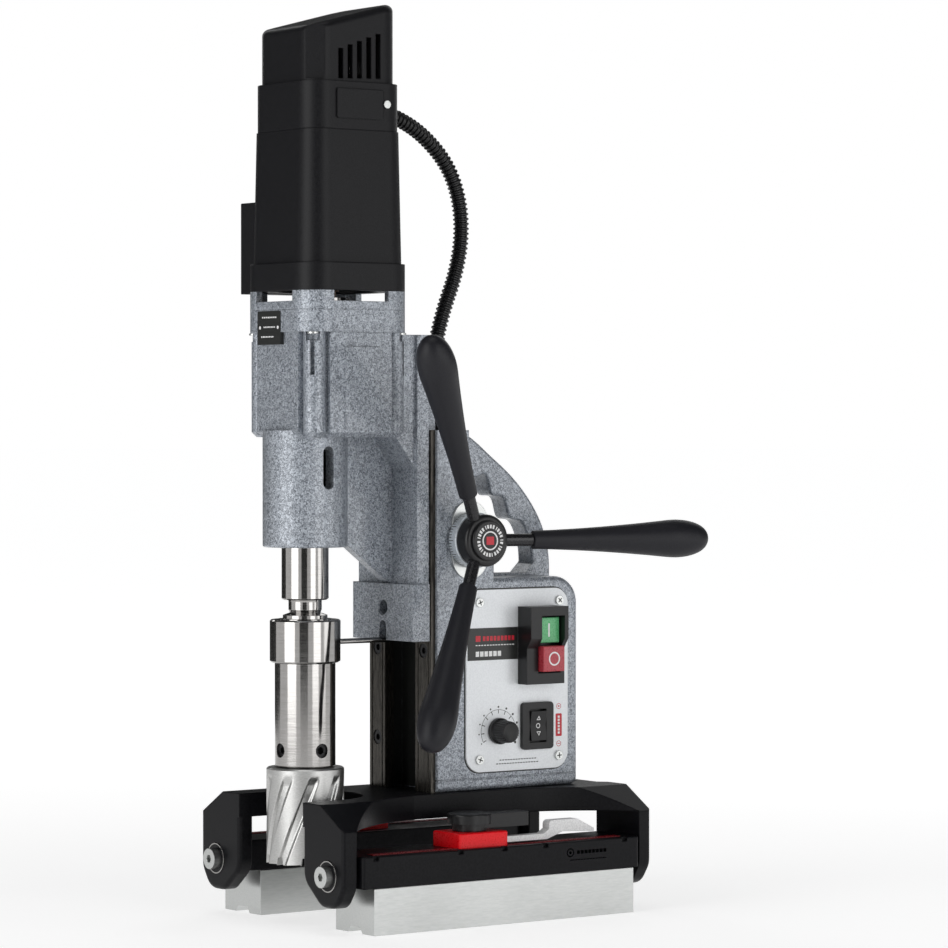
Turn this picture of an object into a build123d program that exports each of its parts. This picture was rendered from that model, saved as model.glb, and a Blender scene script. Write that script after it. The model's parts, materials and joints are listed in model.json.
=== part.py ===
from build123d import *
import math
import os

os.makedirs("parts", exist_ok=True)

# Magnetic drill press on two pivoting switched magnets, millimetres.
# The origin is the point on the work surface under the spindle axis. +Z is up, -Y is the
# cutter side (front), +Y is the carry handle side (rear), +X is the control panel side.

# ---- Driving dimensions ---------------------------------------------------------------
# Magnets
MAGNET_X = 71.5            # centre line of each magnet unit
MAGNET_HALF = 23.45
SHOE_FRONT, SHOE_REAR, SHOE_TOP = -6.4, 220.0, 32.6
HOUSING_FRONT, HOUSING_REAR, HOUSING_TOP = -15.6, 225.8, 54.5
PIVOT_Z = 40.3             # swivel axis of each magnet unit
PIN_R = 6.0
HEAD_R, HEAD_OUT = 7.4, 6.2        # swivel screw heads, and how far they stand out
SWITCH_X, SWITCH_Y = 73.5, 89.5   # axis of each magnet's switch knob
SWITCH_SHAFT_R = 5.0
# Base bridge
PLATE_BOTTOM, PLATE_TOP = 72.0, 89.0
EAR_INNER, EAR_OUTER, EAR_THICK = 40.8, 91.1, 10.8
FRONT_FACE, REAR_FACE = -29.2, 239.4
BASE_MID = (FRONT_FACE + REAR_FACE) / 2
EAR_EDGE_R = 3.0
CUTTER_GAP_R = 40.8        # open slot in the bridge around the cutter
WAIST_HALF = 45.5
# Frame
FRAME_HALF = 41.0
FRAME_FRONT, COLUMN_REAR, FRAME_TOP = 85.5, 113.0, 347.0
BOX_REAR, BOX_TOP = 211.5, 241.0
BOSS_R = 22.0              # round boss that carries the feed shaft
ARCH_HALF = 9.5            # half thickness of the carry handle
RAIL_IN, RAIL_OUT = 19.0, 38.2
RAIL_FRONT, RAIL_BACK = 81.7, 89.7
CHANNEL_HALF, CHANNEL_BACK = 24.0, 100.2
# Feed
HUB_Y, HUB_Z = 113.0, 268.6
TOOTH_MODULE, PINION_TEETH = 1.5, 20
PITCH_R = TOOTH_MODULE * PINION_TEETH / 2
TOOTH_PITCH = math.pi * TOOTH_MODULE
RACK_PITCH_Y = HUB_Y - PITCH_R
ARM_X, ARM_TILT, ARM_REACH = 53.5, 18.5, 173.5
# Head
MOTOR_Y = 19.0             # motor and gear case centre, behind the spindle axis
CARRIAGE_HALF, CARRIAGE_BACK = 37.5, 81.2
CARRIAGE_BOTTOM, CARRIAGE_TOP = 197.0, 414.5
CASE_HALF, CASE_BOTTOM, CASE_TOP = 42.4, 342.0, 431.4
CHAMBER_R = 38.8           # gear chamber inside the case
GUARD_HOLE_R = 5.1         # M12 tapped hole in the carriage's foot
FLANGE_HALF, FLANGE_BOTTOM = 45.0, 415.5
ADAPTER_TOP = 444.6
MOTOR_TOP, CAP_STEP = 557.0, 590.5
CAP_HALF = 40.4
QUILL_R, QUILL_BOTTOM = 30.0, 264.6
SCREW_PITCH = 74.0         # screws at the flange's corners
# Spindle line
SPINDLE_R, SPINDLE_BOTTOM, SPINDLE_TOP = 16.65, 227.5, 374.0
DRIFT_Z, DRIFT_HIGH, DRIFT_WIDE = 320.6, 30.0, 9.0
COLLAR_R, COLLAR_BOTTOM, COLLAR_TOP = 25.0, 183.5, 213.6
ARBOR_R, ARBOR_NECK_R, ARBOR_BOTTOM = 21.5, 19.0, 110.0
SCREW_Z = 122.0
CUTTER_R, CUTTER_BOTTOM, CUTTER_TOP = 27.5, 42.0, 109.6
SHANK_R = 9.5
# Control panel
PANEL_X = FRAME_HALF
PANEL_THICK = 1.6
BAY_LONG, BAY_HIGH = 84.0, 124.0   # opening of the electrics bay behind the panel
PANEL_FRONT, PANEL_REAR, PANEL_LOW, PANEL_HIGH = 109.7, 200.8, 102.0, 232.7
START_YZ = (175.6, 202.8)
STOP_YZ = (175.6, 182.4)
ROCKER_YZ = (171.5, 133.5)
SPEED_YZ = (138.0, 131.0)
CONDUIT_D, CONDUIT_END_Y = 11.7, 118.0
RUN_GAP = 0.05             # radial running clearance of shafts in their bores
SIDES = (("right", 1), ("left", -1))

# ---- Base bridge: plate with four ears that carry the magnets -------------------------
with BuildPart() as base_bridge:
    with BuildSketch(Plane.XY.offset(PLATE_BOTTOM)):
        with BuildLine():
            front_waist_y = 62
            rear_waist_y = 2 * BASE_MID - front_waist_y
            front_ear_y = FRONT_FACE + EAR_THICK
            rear_ear_y = REAR_FACE - EAR_THICK
            Line((0, FRONT_FACE), (EAR_OUTER, FRONT_FACE))
            Line((EAR_OUTER, FRONT_FACE), (EAR_OUTER, front_ear_y))
            ThreePointArc((EAR_OUTER, front_ear_y), (62, 16), (WAIST_HALF, front_waist_y))
            Line((WAIST_HALF, front_waist_y), (WAIST_HALF, rear_waist_y))
            ThreePointArc(
                (WAIST_HALF, rear_waist_y), (62, 2 * BASE_MID - 16), (EAR_OUTER, rear_ear_y)
            )
            Line((EAR_OUTER, rear_ear_y), (EAR_OUTER, REAR_FACE))
            Line((EAR_OUTER, REAR_FACE), (EAR_INNER, REAR_FACE))
            Line((EAR_INNER, REAR_FACE), (EAR_INNER - 6, REAR_FACE - 6))
            Line((EAR_INNER - 6, REAR_FACE - 6), (0, REAR_FACE - 6))
            mirror(about=Plane.YZ)
        make_face()
    extrude(amount=PLATE_TOP - PLATE_BOTTOM)
    # The upper long edges fall away towards the ears
    with BuildSketch(Plane.XZ.offset(-FRONT_FACE)):
        with BuildLine():
            Polyline((0, 0), (EAR_OUTER, 0), (EAR_OUTER, 71.9), (62.2, PLATE_TOP), (0, PLATE_TOP))
            mirror(about=Plane.YZ)
        make_face()
    extrude(amount=-(REAR_FACE - FRONT_FACE), mode=Mode.INTERSECT)
    # Ears, front and rear
    for face_y, depth in ((FRONT_FACE, -EAR_THICK), (REAR_FACE, EAR_THICK)):
        with BuildSketch(Plane.XZ.offset(-face_y)) as ear:
            with BuildLine():
                Polyline(
                    (EAR_INNER, PLATE_TOP),
                    (62.2, PLATE_TOP),
                    (EAR_OUTER, 71.9),
                    (EAR_OUTER, 33),
                    (81, 18.2),
                    (62, 18.2),
                    (EAR_INNER, 35),
                    close=True,
                )
            make_face()
            fillet(ear.vertices().group_by(Axis.Y)[0], 14)
            fillet(ear.vertices().filter_by(lambda v: 30 < v.Y < 36), 14)
            mirror(about=Plane.YZ)
        extrude(amount=depth)
    # Rounded outer edges of the ears
    for end in (0, -1):
        ear_face = base_bridge.faces().filter_by(Axis.Y).group_by(Axis.Y)[end]
        outer_edges = ear_face.edges().filter_by(
            lambda edge: abs(edge.center().X) > 45 and edge.center().Z < PLATE_TOP - 9
        )
        fillet(outer_edges, EAR_EDGE_R)
    # Open slot for the cutter
    with BuildSketch(Plane.XY.offset(PLATE_BOTTOM - 1)):
        Circle(CUTTER_GAP_R)
        with Locations((0, FRONT_FACE)):
            Rectangle(2 * CUTTER_GAP_R, 2 * -FRONT_FACE)
    extrude(amount=PLATE_TOP, mode=Mode.SUBTRACT)
    # Safety strap slot behind the frame
    with BuildSketch(Plane.XY.offset(PLATE_BOTTOM - 1)):
        with Locations((0, 222)):
            SlotOverall(46, 9)
    extrude(amount=PLATE_TOP, mode=Mode.SUBTRACT)
    # Frame bolt holes, counterbored from below
    with Locations(Plane.XY.offset(PLATE_BOTTOM).rotated((180, 0, 0))):
        with Locations((-30, -100), (30, -100), (-30, -198), (30, -198)):
            CounterBoreHole(4.1, 7.2, 8.5)
    # Bush seats on the swivel axes
    with Locations((MAGNET_X, BASE_MID, PIVOT_Z), (-MAGNET_X, BASE_MID, PIVOT_Z)):
        Cylinder(11, REAR_FACE - FRONT_FACE + 2, rotation=(90, 0, 0), mode=Mode.SUBTRACT)
base_bridge.part.label = "base_bridge"
export_step(base_bridge.part, "parts/base_bridge.step")

# Four flanged bushes in the ears
with BuildPart() as pivot_bushes:
    for face_y, inward in ((FRONT_FACE, 1), (REAR_FACE, -1)):
        for x in (MAGNET_X, -MAGNET_X):
            with BuildSketch(Plane.XZ.offset(-(face_y - 0.6 * inward))):
                with Locations((x, PIVOT_Z)):
                    Circle(11 - 0.02)
                    Circle(HEAD_R + 0.8, mode=Mode.SUBTRACT)
            extrude(amount=-(EAR_THICK + 1.2) * inward)
            with BuildSketch(Plane.XZ.offset(-(face_y + 2.4 * inward))):
                with Locations((x, PIVOT_Z)):
                    Circle(HEAD_R + 0.8)
                    Circle(PIN_R + 0.02, mode=Mode.SUBTRACT)
            extrude(amount=-(EAR_THICK - 1.8) * inward)
pivot_bushes.part.label = "pivot_bushes"
export_step(pivot_bushes.part, "parts/pivot_bushes.step")

# Four shouldered socket screws on which the magnets swivel
with BuildPart() as pivot_screws:
    for face_y, inward in ((FRONT_FACE, 1), (REAR_FACE, -1)):
        for x in (MAGNET_X, -MAGNET_X):
            with BuildSketch(Plane.XZ.offset(-(face_y - HEAD_OUT * inward))):
                with Locations((x, PIVOT_Z)):
                    Circle(PIN_R)
            extrude(amount=-(HEAD_OUT + 26) * inward)
            with BuildSketch(Plane.XZ.offset(-(face_y + 2.4 * inward))):
                with Locations((x, PIVOT_Z)):
                    Circle(HEAD_R)
            extrude(amount=(HEAD_OUT + 2.4) * inward)
            with BuildSketch(Plane.XZ.offset(-(face_y - HEAD_OUT * inward))):
                with Locations((x, PIVOT_Z)):
                    RegularPolygon(3.0, 6)
            extrude(amount=-5 * inward, mode=Mode.SUBTRACT)
pivot_screws.part.label = "pivot_screws"
export_step(pivot_screws.part, "parts/pivot_screws.step")

# ---- Magnet units, one each side ------------------------------------------------------
for side, sign in SIDES:
    centre_x = sign * MAGNET_X
    switch_x = sign * SWITCH_X

    # Steel pole shoes with a relief groove along the foot and a pocket for the rotor
    with BuildPart() as pole_shoes:
        with BuildSketch(Plane.XZ.offset(-SHOE_FRONT)):
            with BuildLine():
                Polyline(
                    (centre_x - MAGNET_HALF, 0),
                    (centre_x - 9, 0),
                    (centre_x - 6, 4.5),
                    (centre_x + 6, 4.5),
                    (centre_x + 9, 0),
                    (centre_x + MAGNET_HALF, 0),
                    (centre_x + MAGNET_HALF, SHOE_TOP),
                    (centre_x - MAGNET_HALF, SHOE_TOP),
                    close=True,
                )
            make_face()
        extrude(amount=-(SHOE_REAR - SHOE_FRONT))
        with Locations((switch_x, SWITCH_Y, SHOE_TOP)):
            Hole(18, 20)
        chamfer(pole_shoes.edges().group_by(Axis.Z)[-1].filter_by(Axis.Y), 0.6)
    pole_shoes.part.label = f"pole_shoes_{side}"
    export_step(pole_shoes.part, f"parts/pole_shoes_{side}.step")

    # Housing above the pole shoes
    with BuildPart() as magnet_housing:
        with BuildSketch(Plane.XY.offset(SHOE_TOP)):
            with Locations((centre_x, (HOUSING_FRONT + HOUSING_REAR) / 2)):
                RectangleRounded(2 * MAGNET_HALF, HOUSING_REAR - HOUSING_FRONT, 3)
        extrude(amount=HOUSING_TOP - SHOE_TOP)
        fillet(magnet_housing.edges().group_by(Axis.Z)[-1], 1.2)
        with Locations(
            Plane((centre_x, HOUSING_FRONT, PIVOT_Z), z_dir=(0, -1, 0)),
            Plane((centre_x, HOUSING_REAR, PIVOT_Z), z_dir=(0, 1, 0)),
        ):
            Hole(PIN_R + RUN_GAP, 14)
        with Locations((switch_x, SWITCH_Y, SHOE_TOP)):
            Cylinder(18, 16, align=(Align.CENTER, Align.CENTER, Align.MIN), mode=Mode.SUBTRACT)
            Cylinder(
                SWITCH_SHAFT_R + RUN_GAP,
                40,
                align=(Align.CENTER, Align.CENTER, Align.MIN),
                mode=Mode.SUBTRACT,
            )
        # Screw notches along the outer upper edge
        with Locations(*[
            (sign * (MAGNET_X + MAGNET_HALF - 1.2), y, HOUSING_TOP)
            for y in (-5, 67, 105, 141, 212)
        ]):
            Cylinder(2.6, 6, mode=Mode.SUBTRACT)
    magnet_housing.part.label = f"magnet_housing_{side}"
    export_step(magnet_housing.part, f"parts/magnet_housing_{side}.step")

    # Magnet disc on its shaft, turned by the knob
    with BuildPart() as magnet_rotor:
        with BuildSketch(Plane.XY.offset(14)):
            with Locations((switch_x, SWITCH_Y)):
                Circle(17.4)
        extrude(amount=30)
        with BuildSketch(Plane.XY.offset(44)):
            with Locations((switch_x, SWITCH_Y)):
                Circle(SWITCH_SHAFT_R)
        extrude(amount=30)
    magnet_rotor.part.label = f"magnet_rotor_{side}"
    export_step(magnet_rotor.part, f"parts/magnet_rotor_{side}.step")

    # Switch block with the detent for the knob
    block_x, block_y = sign * 73.5, 90.55
    with BuildPart() as switch_block:
        with BuildSketch(Plane.XY.offset(HOUSING_TOP)):
            with Locations((block_x, block_y)):
                RectangleRounded(33, 42.5, 2)
        extrude(amount=10.5)
        chamfer(switch_block.edges().group_by(Axis.Z)[-1], 0.8)
        with Locations((switch_x, SWITCH_Y, HOUSING_TOP)):
            Cylinder(
                SWITCH_SHAFT_R + RUN_GAP,
                30,
                align=(Align.CENTER, Align.CENTER, Align.CENTER),
                mode=Mode.SUBTRACT,
            )
        # Fork for the release lever
        with Locations((sign * 82, block_y + 21.25, HOUSING_TOP + 4)):
            Box(9, 18, 6.8, mode=Mode.SUBTRACT)
        with Locations((sign * 82, block_y + 15.25, HOUSING_TOP + 4)):
            Cylinder(1.5, 14, rotation=(0, 90, 0), mode=Mode.SUBTRACT)
    switch_block.part.label = f"switch_block_{side}"
    export_step(switch_block.part, f"parts/switch_block_{side}.step")

    # Knob with a bar handle
    with BuildPart() as switch_knob:
        with BuildSketch(Plane.XY.offset(HOUSING_TOP + 10.8)):
            with Locations((switch_x, SWITCH_Y)):
                Circle(12)
        extrude(amount=5)
        with BuildSketch(Plane.XY.offset(HOUSING_TOP + 15.6)):
            with Locations((switch_x, SWITCH_Y)):
                Circle(15.5)
        extrude(amount=7.6)
        fillet(switch_knob.edges().group_by(Axis.Z)[-1], 1.5)
        with BuildSketch(Plane.XY.offset(67)):
            with Locations((switch_x + sign * 3, 112)):
                RectangleRounded(15, 46, 2.5)
        extrude(amount=10)
        with Locations((switch_x, SWITCH_Y, HOUSING_TOP + 10)):
            Cylinder(
                SWITCH_SHAFT_R,
                9.5,
                align=(Align.CENTER, Align.CENTER, Align.MIN),
                mode=Mode.SUBTRACT,
            )
    switch_knob.part.label = f"switch_knob_{side}"
    export_step(switch_knob.part, f"parts/switch_knob_{side}.step")

    # Release lever: flat strip with a thumb tab, hinged in the block
    with BuildPart() as release_lever:
        with BuildSketch(Plane.YZ.offset(sign * 82)):
            with BuildLine():
                Polyline(
                    (block_y + 13, 56.4),
                    (block_y + 13, 60.4),
                    (146, 60.4),
                    (151, 63.5),
                    (151, 69.5),
                    (176, 69.5),
                    (191, 62),
                    (191, 59.5),
                    (163, 61),
                    (149, 56.4),
                    close=True,
                )
            make_face()
        extrude(amount=4, both=True)
        fillet(release_lever.edges().filter_by(Axis.X).group_by(Axis.Z)[-1], 3)
        with Locations((sign * 82, block_y + 15.25, HOUSING_TOP + 4)):
            Cylinder(1.45, 13, rotation=(0, 90, 0))
    release_lever.part.label = f"release_lever_{side}"
    export_step(release_lever.part, f"parts/release_lever_{side}.step")

# ---- Frame: column, panel box and carry handle in one casting -------------------------
with BuildPart() as handle_arch:
    # Carry handle: an arch from the column's top to the panel box, waved for the fingers
    with BuildSketch(Plane.YZ):
        with BuildLine():
            Line((COLUMN_REAR - 6, FRAME_TOP), (127, FRAME_TOP))
            Spline(
                (127, FRAME_TOP), (134, 344.2), (153.9, 330.3), (172.3, 316.1), (190.6, 297.3),
                (203.6, 276.2), (209, 258), (209.5, BOX_TOP - 6),
            )
            Line((209.5, BOX_TOP - 6), (COLUMN_REAR - 6, BOX_TOP - 6))
            Line((COLUMN_REAR - 6, BOX_TOP - 6), (COLUMN_REAR - 6, FRAME_TOP))
        make_face()
        with BuildLine():
            Line((COLUMN_REAR - 4, BOX_TOP + 1.5), (COLUMN_REAR - 4, 324))
            Spline(
                (COLUMN_REAR - 4, 324), (127, 324), (136, 316.5), (143, 312.6), (150, 315.0),
                (154.6, 307), (157.6, 299.6), (165.4, 298.8), (170.4, 290.6), (174, 282.6),
                (181.8, 281.0), (188.6, 273), (192.6, 262), (193.6, 249),
            )
            Line((193.6, 249), (187, BOX_TOP + 1.5))
            Line((187, BOX_TOP + 1.5), (COLUMN_REAR - 4, BOX_TOP + 1.5))
        make_face(mode=Mode.SUBTRACT)
    extrude(amount=ARCH_HALF, both=True)
    arch_sides = handle_arch.faces().filter_by(Axis.X)
    fillet(arch_sides.edges().filter_by(GeomType.BSPLINE), 2.5)

PANEL_SCREWS_YZ = ((121, 223.6), (192.6, 223.6), (121, 111), (192, 111))
PANEL_MID = ((PANEL_FRONT + PANEL_REAR) / 2, (PANEL_LOW + PANEL_HIGH) / 2)
with BuildPart() as frame_casting:
    with BuildSketch(Plane.YZ) as side_view:
        with BuildLine():
            Polyline(
                (FRAME_FRONT, PLATE_TOP),
                (BOX_REAR, PLATE_TOP),
                (BOX_REAR, BOX_TOP),
                (FRAME_FRONT, BOX_TOP),
                close=True,
            )
        make_face()
        fillet(side_view.vertices().sort_by(Axis.X)[-2:].sort_by(Axis.Y)[-1], 20)
        fillet(side_view.vertices().sort_by(Axis.X)[-2:].sort_by(Axis.Y)[0], 5)
        with Locations(((FRAME_FRONT + COLUMN_REAR) / 2, (PLATE_TOP + FRAME_TOP) / 2)):
            Rectangle(COLUMN_REAR - FRAME_FRONT, FRAME_TOP - PLATE_TOP)
        with Locations((HUB_Y, HUB_Z)):
            Circle(BOSS_R)
        with Locations((HUB_Y + BOSS_R / 2, (HUB_Z + BOX_TOP) / 2)):
            Rectangle(BOSS_R, HUB_Z - BOX_TOP)
    extrude(amount=FRAME_HALF, both=True)
    rear_edges = frame_casting.edges().filter_by(Axis.Z).filter_by_position(
        Axis.Y, BOX_REAR - 0.1, BOX_REAR + 0.1
    )
    fillet(rear_edges, 4)
    add(handle_arch.part)
    # Parting groove around the foot
    with BuildSketch(Plane.XY.offset(97)):
        with Locations((0, (FRAME_FRONT + BOX_REAR) / 2)):
            Rectangle(2 * FRAME_HALF + 2, BOX_REAR - FRAME_FRONT + 2)
            Rectangle(2 * FRAME_HALF - 1.2, BOX_REAR - FRAME_FRONT - 1.2, mode=Mode.SUBTRACT)
    extrude(amount=0.9, mode=Mode.SUBTRACT)
    # Rail seats and the channel for the carriage tongue
    channel_depth = CHANNEL_BACK - RAIL_BACK
    with BuildSketch(Plane.XY.offset(PLATE_TOP)):
        with Locations((0, FRAME_FRONT)):
            Rectangle(2 * RAIL_OUT, 2 * (RAIL_BACK - FRAME_FRONT))
        with Locations((0, RAIL_BACK + channel_depth / 2)):
            Rectangle(2 * CHANNEL_HALF, channel_depth)
    extrude(amount=FRAME_TOP, mode=Mode.SUBTRACT)
    # Pinion chamber, shaft bore and side bosses
    with Locations((0, HUB_Y, HUB_Z)):
        Cylinder(19, 28, rotation=(0, 90, 0), mode=Mode.SUBTRACT)
        Cylinder(12, 2 * FRAME_HALF + 10, rotation=(0, 90, 0), mode=Mode.SUBTRACT)
    # Electrics bay behind the panel, with screw pillars, and the conduit's socket
    with BuildSketch(Plane.YZ.offset(FRAME_HALF)):
        with Locations(PANEL_MID):
            RectangleRounded(BAY_LONG, BAY_HIGH, 9)
        with Locations(*PANEL_SCREWS_YZ):
            Circle(5.5, mode=Mode.SUBTRACT)
    extrude(amount=-(2 * FRAME_HALF - 7.5), mode=Mode.SUBTRACT)
    with Locations(*[(FRAME_HALF, y, z) for y, z in PANEL_SCREWS_YZ]):
        Cylinder(2.05, 12, rotation=(0, 90, 0), mode=Mode.SUBTRACT)
    with BuildSketch(Plane.XY.offset(FRAME_TOP)):
        with Locations((0, CONDUIT_END_Y)):
            Circle(CONDUIT_D / 2 + 0.2)
    extrude(amount=-9, mode=Mode.SUBTRACT)
    # Bolt holes for the base
    with Locations((-30, 100, PLATE_TOP), (30, 100, PLATE_TOP), (-30, 198, PLATE_TOP),
                   (30, 198, PLATE_TOP)):
        Cylinder(4.1, 36, mode=Mode.SUBTRACT)
    # Rail screw holes
    with Locations(*[
        (x, RAIL_BACK, z) for x in (-28.6, 28.6) for z in (125, 190, 255, 325)
    ]):
        Cylinder(3.1, 24, rotation=(90, 0, 0), mode=Mode.SUBTRACT)
    # Mains inlet hole in the rear wall
    with Locations((0, BOX_REAR, 120)):
        Cylinder(8.1, 20, rotation=(90, 0, 0), mode=Mode.SUBTRACT)
frame_casting.part.label = "frame_casting"
export_step(frame_casting.part, "parts/frame_casting.step")

with BuildPart() as base_bolts:
    with Locations((-30, 100), (30, 100), (-30, 198), (30, 198)):
        with Locations((0, 0, PLATE_BOTTOM + 0.5)):
            Cylinder(6.6, 7.9, align=(Align.CENTER, Align.CENTER, Align.MIN))
        with Locations((0, 0, PLATE_BOTTOM + 8)):
            Cylinder(4, 26, align=(Align.CENTER, Align.CENTER, Align.MIN))
        with Locations((0, 0, PLATE_BOTTOM + 0.5)):
            Cylinder(3, 4, align=(Align.CENTER, Align.CENTER, Align.MIN), mode=Mode.SUBTRACT)
base_bolts.part.label = "base_bolts"
export_step(base_bolts.part, "parts/base_bolts.step")

# Two ground steel rails bolted to the column
with BuildPart() as slide_rails:
    rail_mid = (RAIL_IN + RAIL_OUT) / 2
    for x in (-rail_mid, rail_mid):
        with BuildSketch(Plane.XY.offset(PLATE_TOP)):
            with Locations((x, (RAIL_FRONT + RAIL_BACK) / 2)):
                Rectangle(RAIL_OUT - RAIL_IN, RAIL_BACK - RAIL_FRONT)
            with Locations((x - 6.2, RAIL_FRONT), (x + 6.2, RAIL_FRONT)):
                Rectangle(1.2, 1.6, mode=Mode.SUBTRACT)
        extrude(amount=FRAME_TOP - PLATE_TOP)
    with Locations(*[
        (x, RAIL_FRONT, z) for x in (-28.6, 28.6) for z in (125, 190, 255, 325)
    ]):
        Cylinder(5.2, 10, rotation=(90, 0, 0), mode=Mode.SUBTRACT)
        Cylinder(3.1, 40, rotation=(90, 0, 0), mode=Mode.SUBTRACT)
slide_rails.part.label = "slide_rails"
export_step(slide_rails.part, "parts/slide_rails.step")

with BuildPart() as rail_screws:
    for x in (-28.6, 28.6):
        for z in (125, 190, 255, 325):
            with Locations(Plane((x, RAIL_FRONT + 0.6, z), z_dir=(0, 1, 0))):
                Cylinder(5, 4.3, align=(Align.CENTER, Align.CENTER, Align.MIN))
                Cylinder(3, 18, align=(Align.CENTER, Align.CENTER, Align.MIN))
                Cylinder(
                    2.3, 2.5, align=(Align.CENTER, Align.CENTER, Align.MIN), mode=Mode.SUBTRACT
                )
rail_screws.part.label = "rail_screws"
export_step(rail_screws.part, "parts/rail_screws.step")

# ---- Electrics in the panel box -------------------------------------------------------
with BuildPart() as control_panel:
    with BuildSketch(Plane.YZ.offset(PANEL_X)):
        with Locations(PANEL_MID):
            RectangleRounded(PANEL_REAR - PANEL_FRONT, PANEL_HIGH - PANEL_LOW, 12)
        with Locations((172.5, 192)):
            Rectangle(29, 50, mode=Mode.SUBTRACT)
        with Locations(ROCKER_YZ):
            Rectangle(22, 27, mode=Mode.SUBTRACT)
        with Locations(SPEED_YZ):
            Circle(4, mode=Mode.SUBTRACT)
        with Locations(*PANEL_SCREWS_YZ):
            Circle(2.1, mode=Mode.SUBTRACT)
    extrude(amount=PANEL_THICK)
    fillet(control_panel.edges().group_by(Axis.X)[-1].filter_by(Axis.Z), 0.3)
control_panel.part.label = "control_panel"
export_step(control_panel.part, "parts/control_panel.step")

with BuildPart() as panel_screws:
    for y, z in PANEL_SCREWS_YZ:
        with BuildSketch(Plane.YZ.offset(PANEL_X - 3)):
            with Locations((y, z)):
                Circle(2)
        extrude(amount=3 + PANEL_THICK)
        with BuildSketch(Plane.YZ.offset(PANEL_X + PANEL_THICK)):
            with Locations((y, z)):
                Circle(3.4)
        extrude(amount=1.6)
panel_screws.part.label = "panel_screws"
export_step(panel_screws.part, "parts/panel_screws.step")

# No-volt switch: a rear body through the panel and a stepped hood around the buttons
PANEL_FACE = PANEL_X + PANEL_THICK
with BuildPart() as switch_housing:
    with BuildSketch(Plane.XZ.offset(-155.5)):
        with BuildLine():
            Polyline(
                (PANEL_FACE, 164),
                (PANEL_FACE + 11, 164),
                (PANEL_FACE + 11, 190),
                (PANEL_FACE + 16, 197),
                (PANEL_FACE + 16, 220),
                (PANEL_FACE, 220),
                close=True,
            )
        make_face()
    extrude(amount=-33.7)
    with Locations((PANEL_X - 10, 172.5, 192)):
        Box(2 * 10 + 2 * PANEL_THICK, 28.4, 49.4)
    # Recess for the two buttons
    with Locations((PANEL_FACE + 4, START_YZ[0], 192.6)):
        Box(26, 20.6, 41.4, align=(Align.MIN, Align.CENTER, Align.CENTER), mode=Mode.SUBTRACT)
    # Guides for the button stems
    for y, z in (START_YZ, STOP_YZ):
        with Locations((PANEL_X - 6, y, z)):
            Box(30, 8.2, 8.2, mode=Mode.SUBTRACT)
switch_housing.part.label = "switch_housing"
export_step(switch_housing.part, "parts/switch_housing.step")

for name, (y, z), reach in (("start_button", START_YZ, 10.5), ("stop_button", STOP_YZ, 17.0)):
    with BuildPart() as button:
        with Locations((PANEL_FACE + 8, y, z)):
            Box(reach - 8, 19, 18.4, align=(Align.MIN, Align.CENTER, Align.CENTER))
        fillet(button.edges().group_by(Axis.X)[-1], 0.8)
        with Locations((PANEL_FACE - 8, y, z)):
            Box(16, 7.4, 7.4, align=(Align.MIN, Align.CENTER, Align.CENTER))
    button.part.label = name
    export_step(button.part, f"parts/{name}.step")

# Rotation direction rocker in its snap-in frame
with BuildPart() as rocker_frame:
    with BuildSketch(Plane.YZ.offset(PANEL_FACE)):
        with Locations(ROCKER_YZ):
            RectangleRounded(28, 34, 3)
    extrude(amount=3)
    with BuildSketch(Plane.YZ.offset(PANEL_FACE)):
        with Locations(ROCKER_YZ):
            Rectangle(21.6, 26.6)
    extrude(amount=-18)
    with BuildSketch(Plane.YZ.offset(PANEL_FACE + 3)):
        with Locations(ROCKER_YZ):
            Rectangle(15, 24)
    extrude(amount=-14, mode=Mode.SUBTRACT)
    with Locations((PANEL_FACE - 4, ROCKER_YZ[0], ROCKER_YZ[1])):
        Cylinder(1.55, 19, rotation=(90, 0, 0), mode=Mode.SUBTRACT)
rocker_frame.part.label = "rocker_frame"
export_step(rocker_frame.part, "parts/rocker_frame.step")

with BuildPart() as direction_rocker:
    with BuildSketch(Plane.XZ.offset(-(ROCKER_YZ[0] - 7))):
        with BuildLine():
            rocker_x, rocker_z = PANEL_FACE - 4, ROCKER_YZ[1]
            Polyline(
                (rocker_x - 4, rocker_z - 3),
                (rocker_x + 5.2, rocker_z - 10.6),
                (rocker_x + 8.6, rocker_z - 10.6),
                (rocker_x + 6.8, rocker_z),
                (rocker_x + 8.6, rocker_z + 10.6),
                (rocker_x + 5.2, rocker_z + 10.6),
                (rocker_x - 4, rocker_z + 3),
                close=True,
            )
        make_face()
    extrude(amount=-14)
    with Locations((rocker_x, ROCKER_YZ[0], rocker_z)):
        Cylinder(1.5, 18, rotation=(90, 0, 0))
direction_rocker.part.label = "direction_rocker"
export_step(direction_rocker.part, "parts/direction_rocker.step")

# Speed knob on its potentiometer shaft
with BuildPart() as speed_knob:
    with BuildSketch(Plane.YZ.offset(PANEL_FACE + 0.6)):
        with Locations(SPEED_YZ):
            Circle(9.5)
    extrude(amount=15, taper=2)
    fillet(speed_knob.edges().group_by(Axis.X)[-1], 1)
    with Locations((PANEL_FACE - 10, *SPEED_YZ)):
        Cylinder(2.95, 11, rotation=(0, 90, 0), align=(Align.CENTER, Align.CENTER, Align.MIN))
    with Locations((PANEL_FACE + 16, SPEED_YZ[0], SPEED_YZ[1] + 9)):
        Box(20, 1.2, 1.2, mode=Mode.SUBTRACT)
speed_knob.part.label = "speed_knob"
export_step(speed_knob.part, "parts/speed_knob.step")

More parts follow.
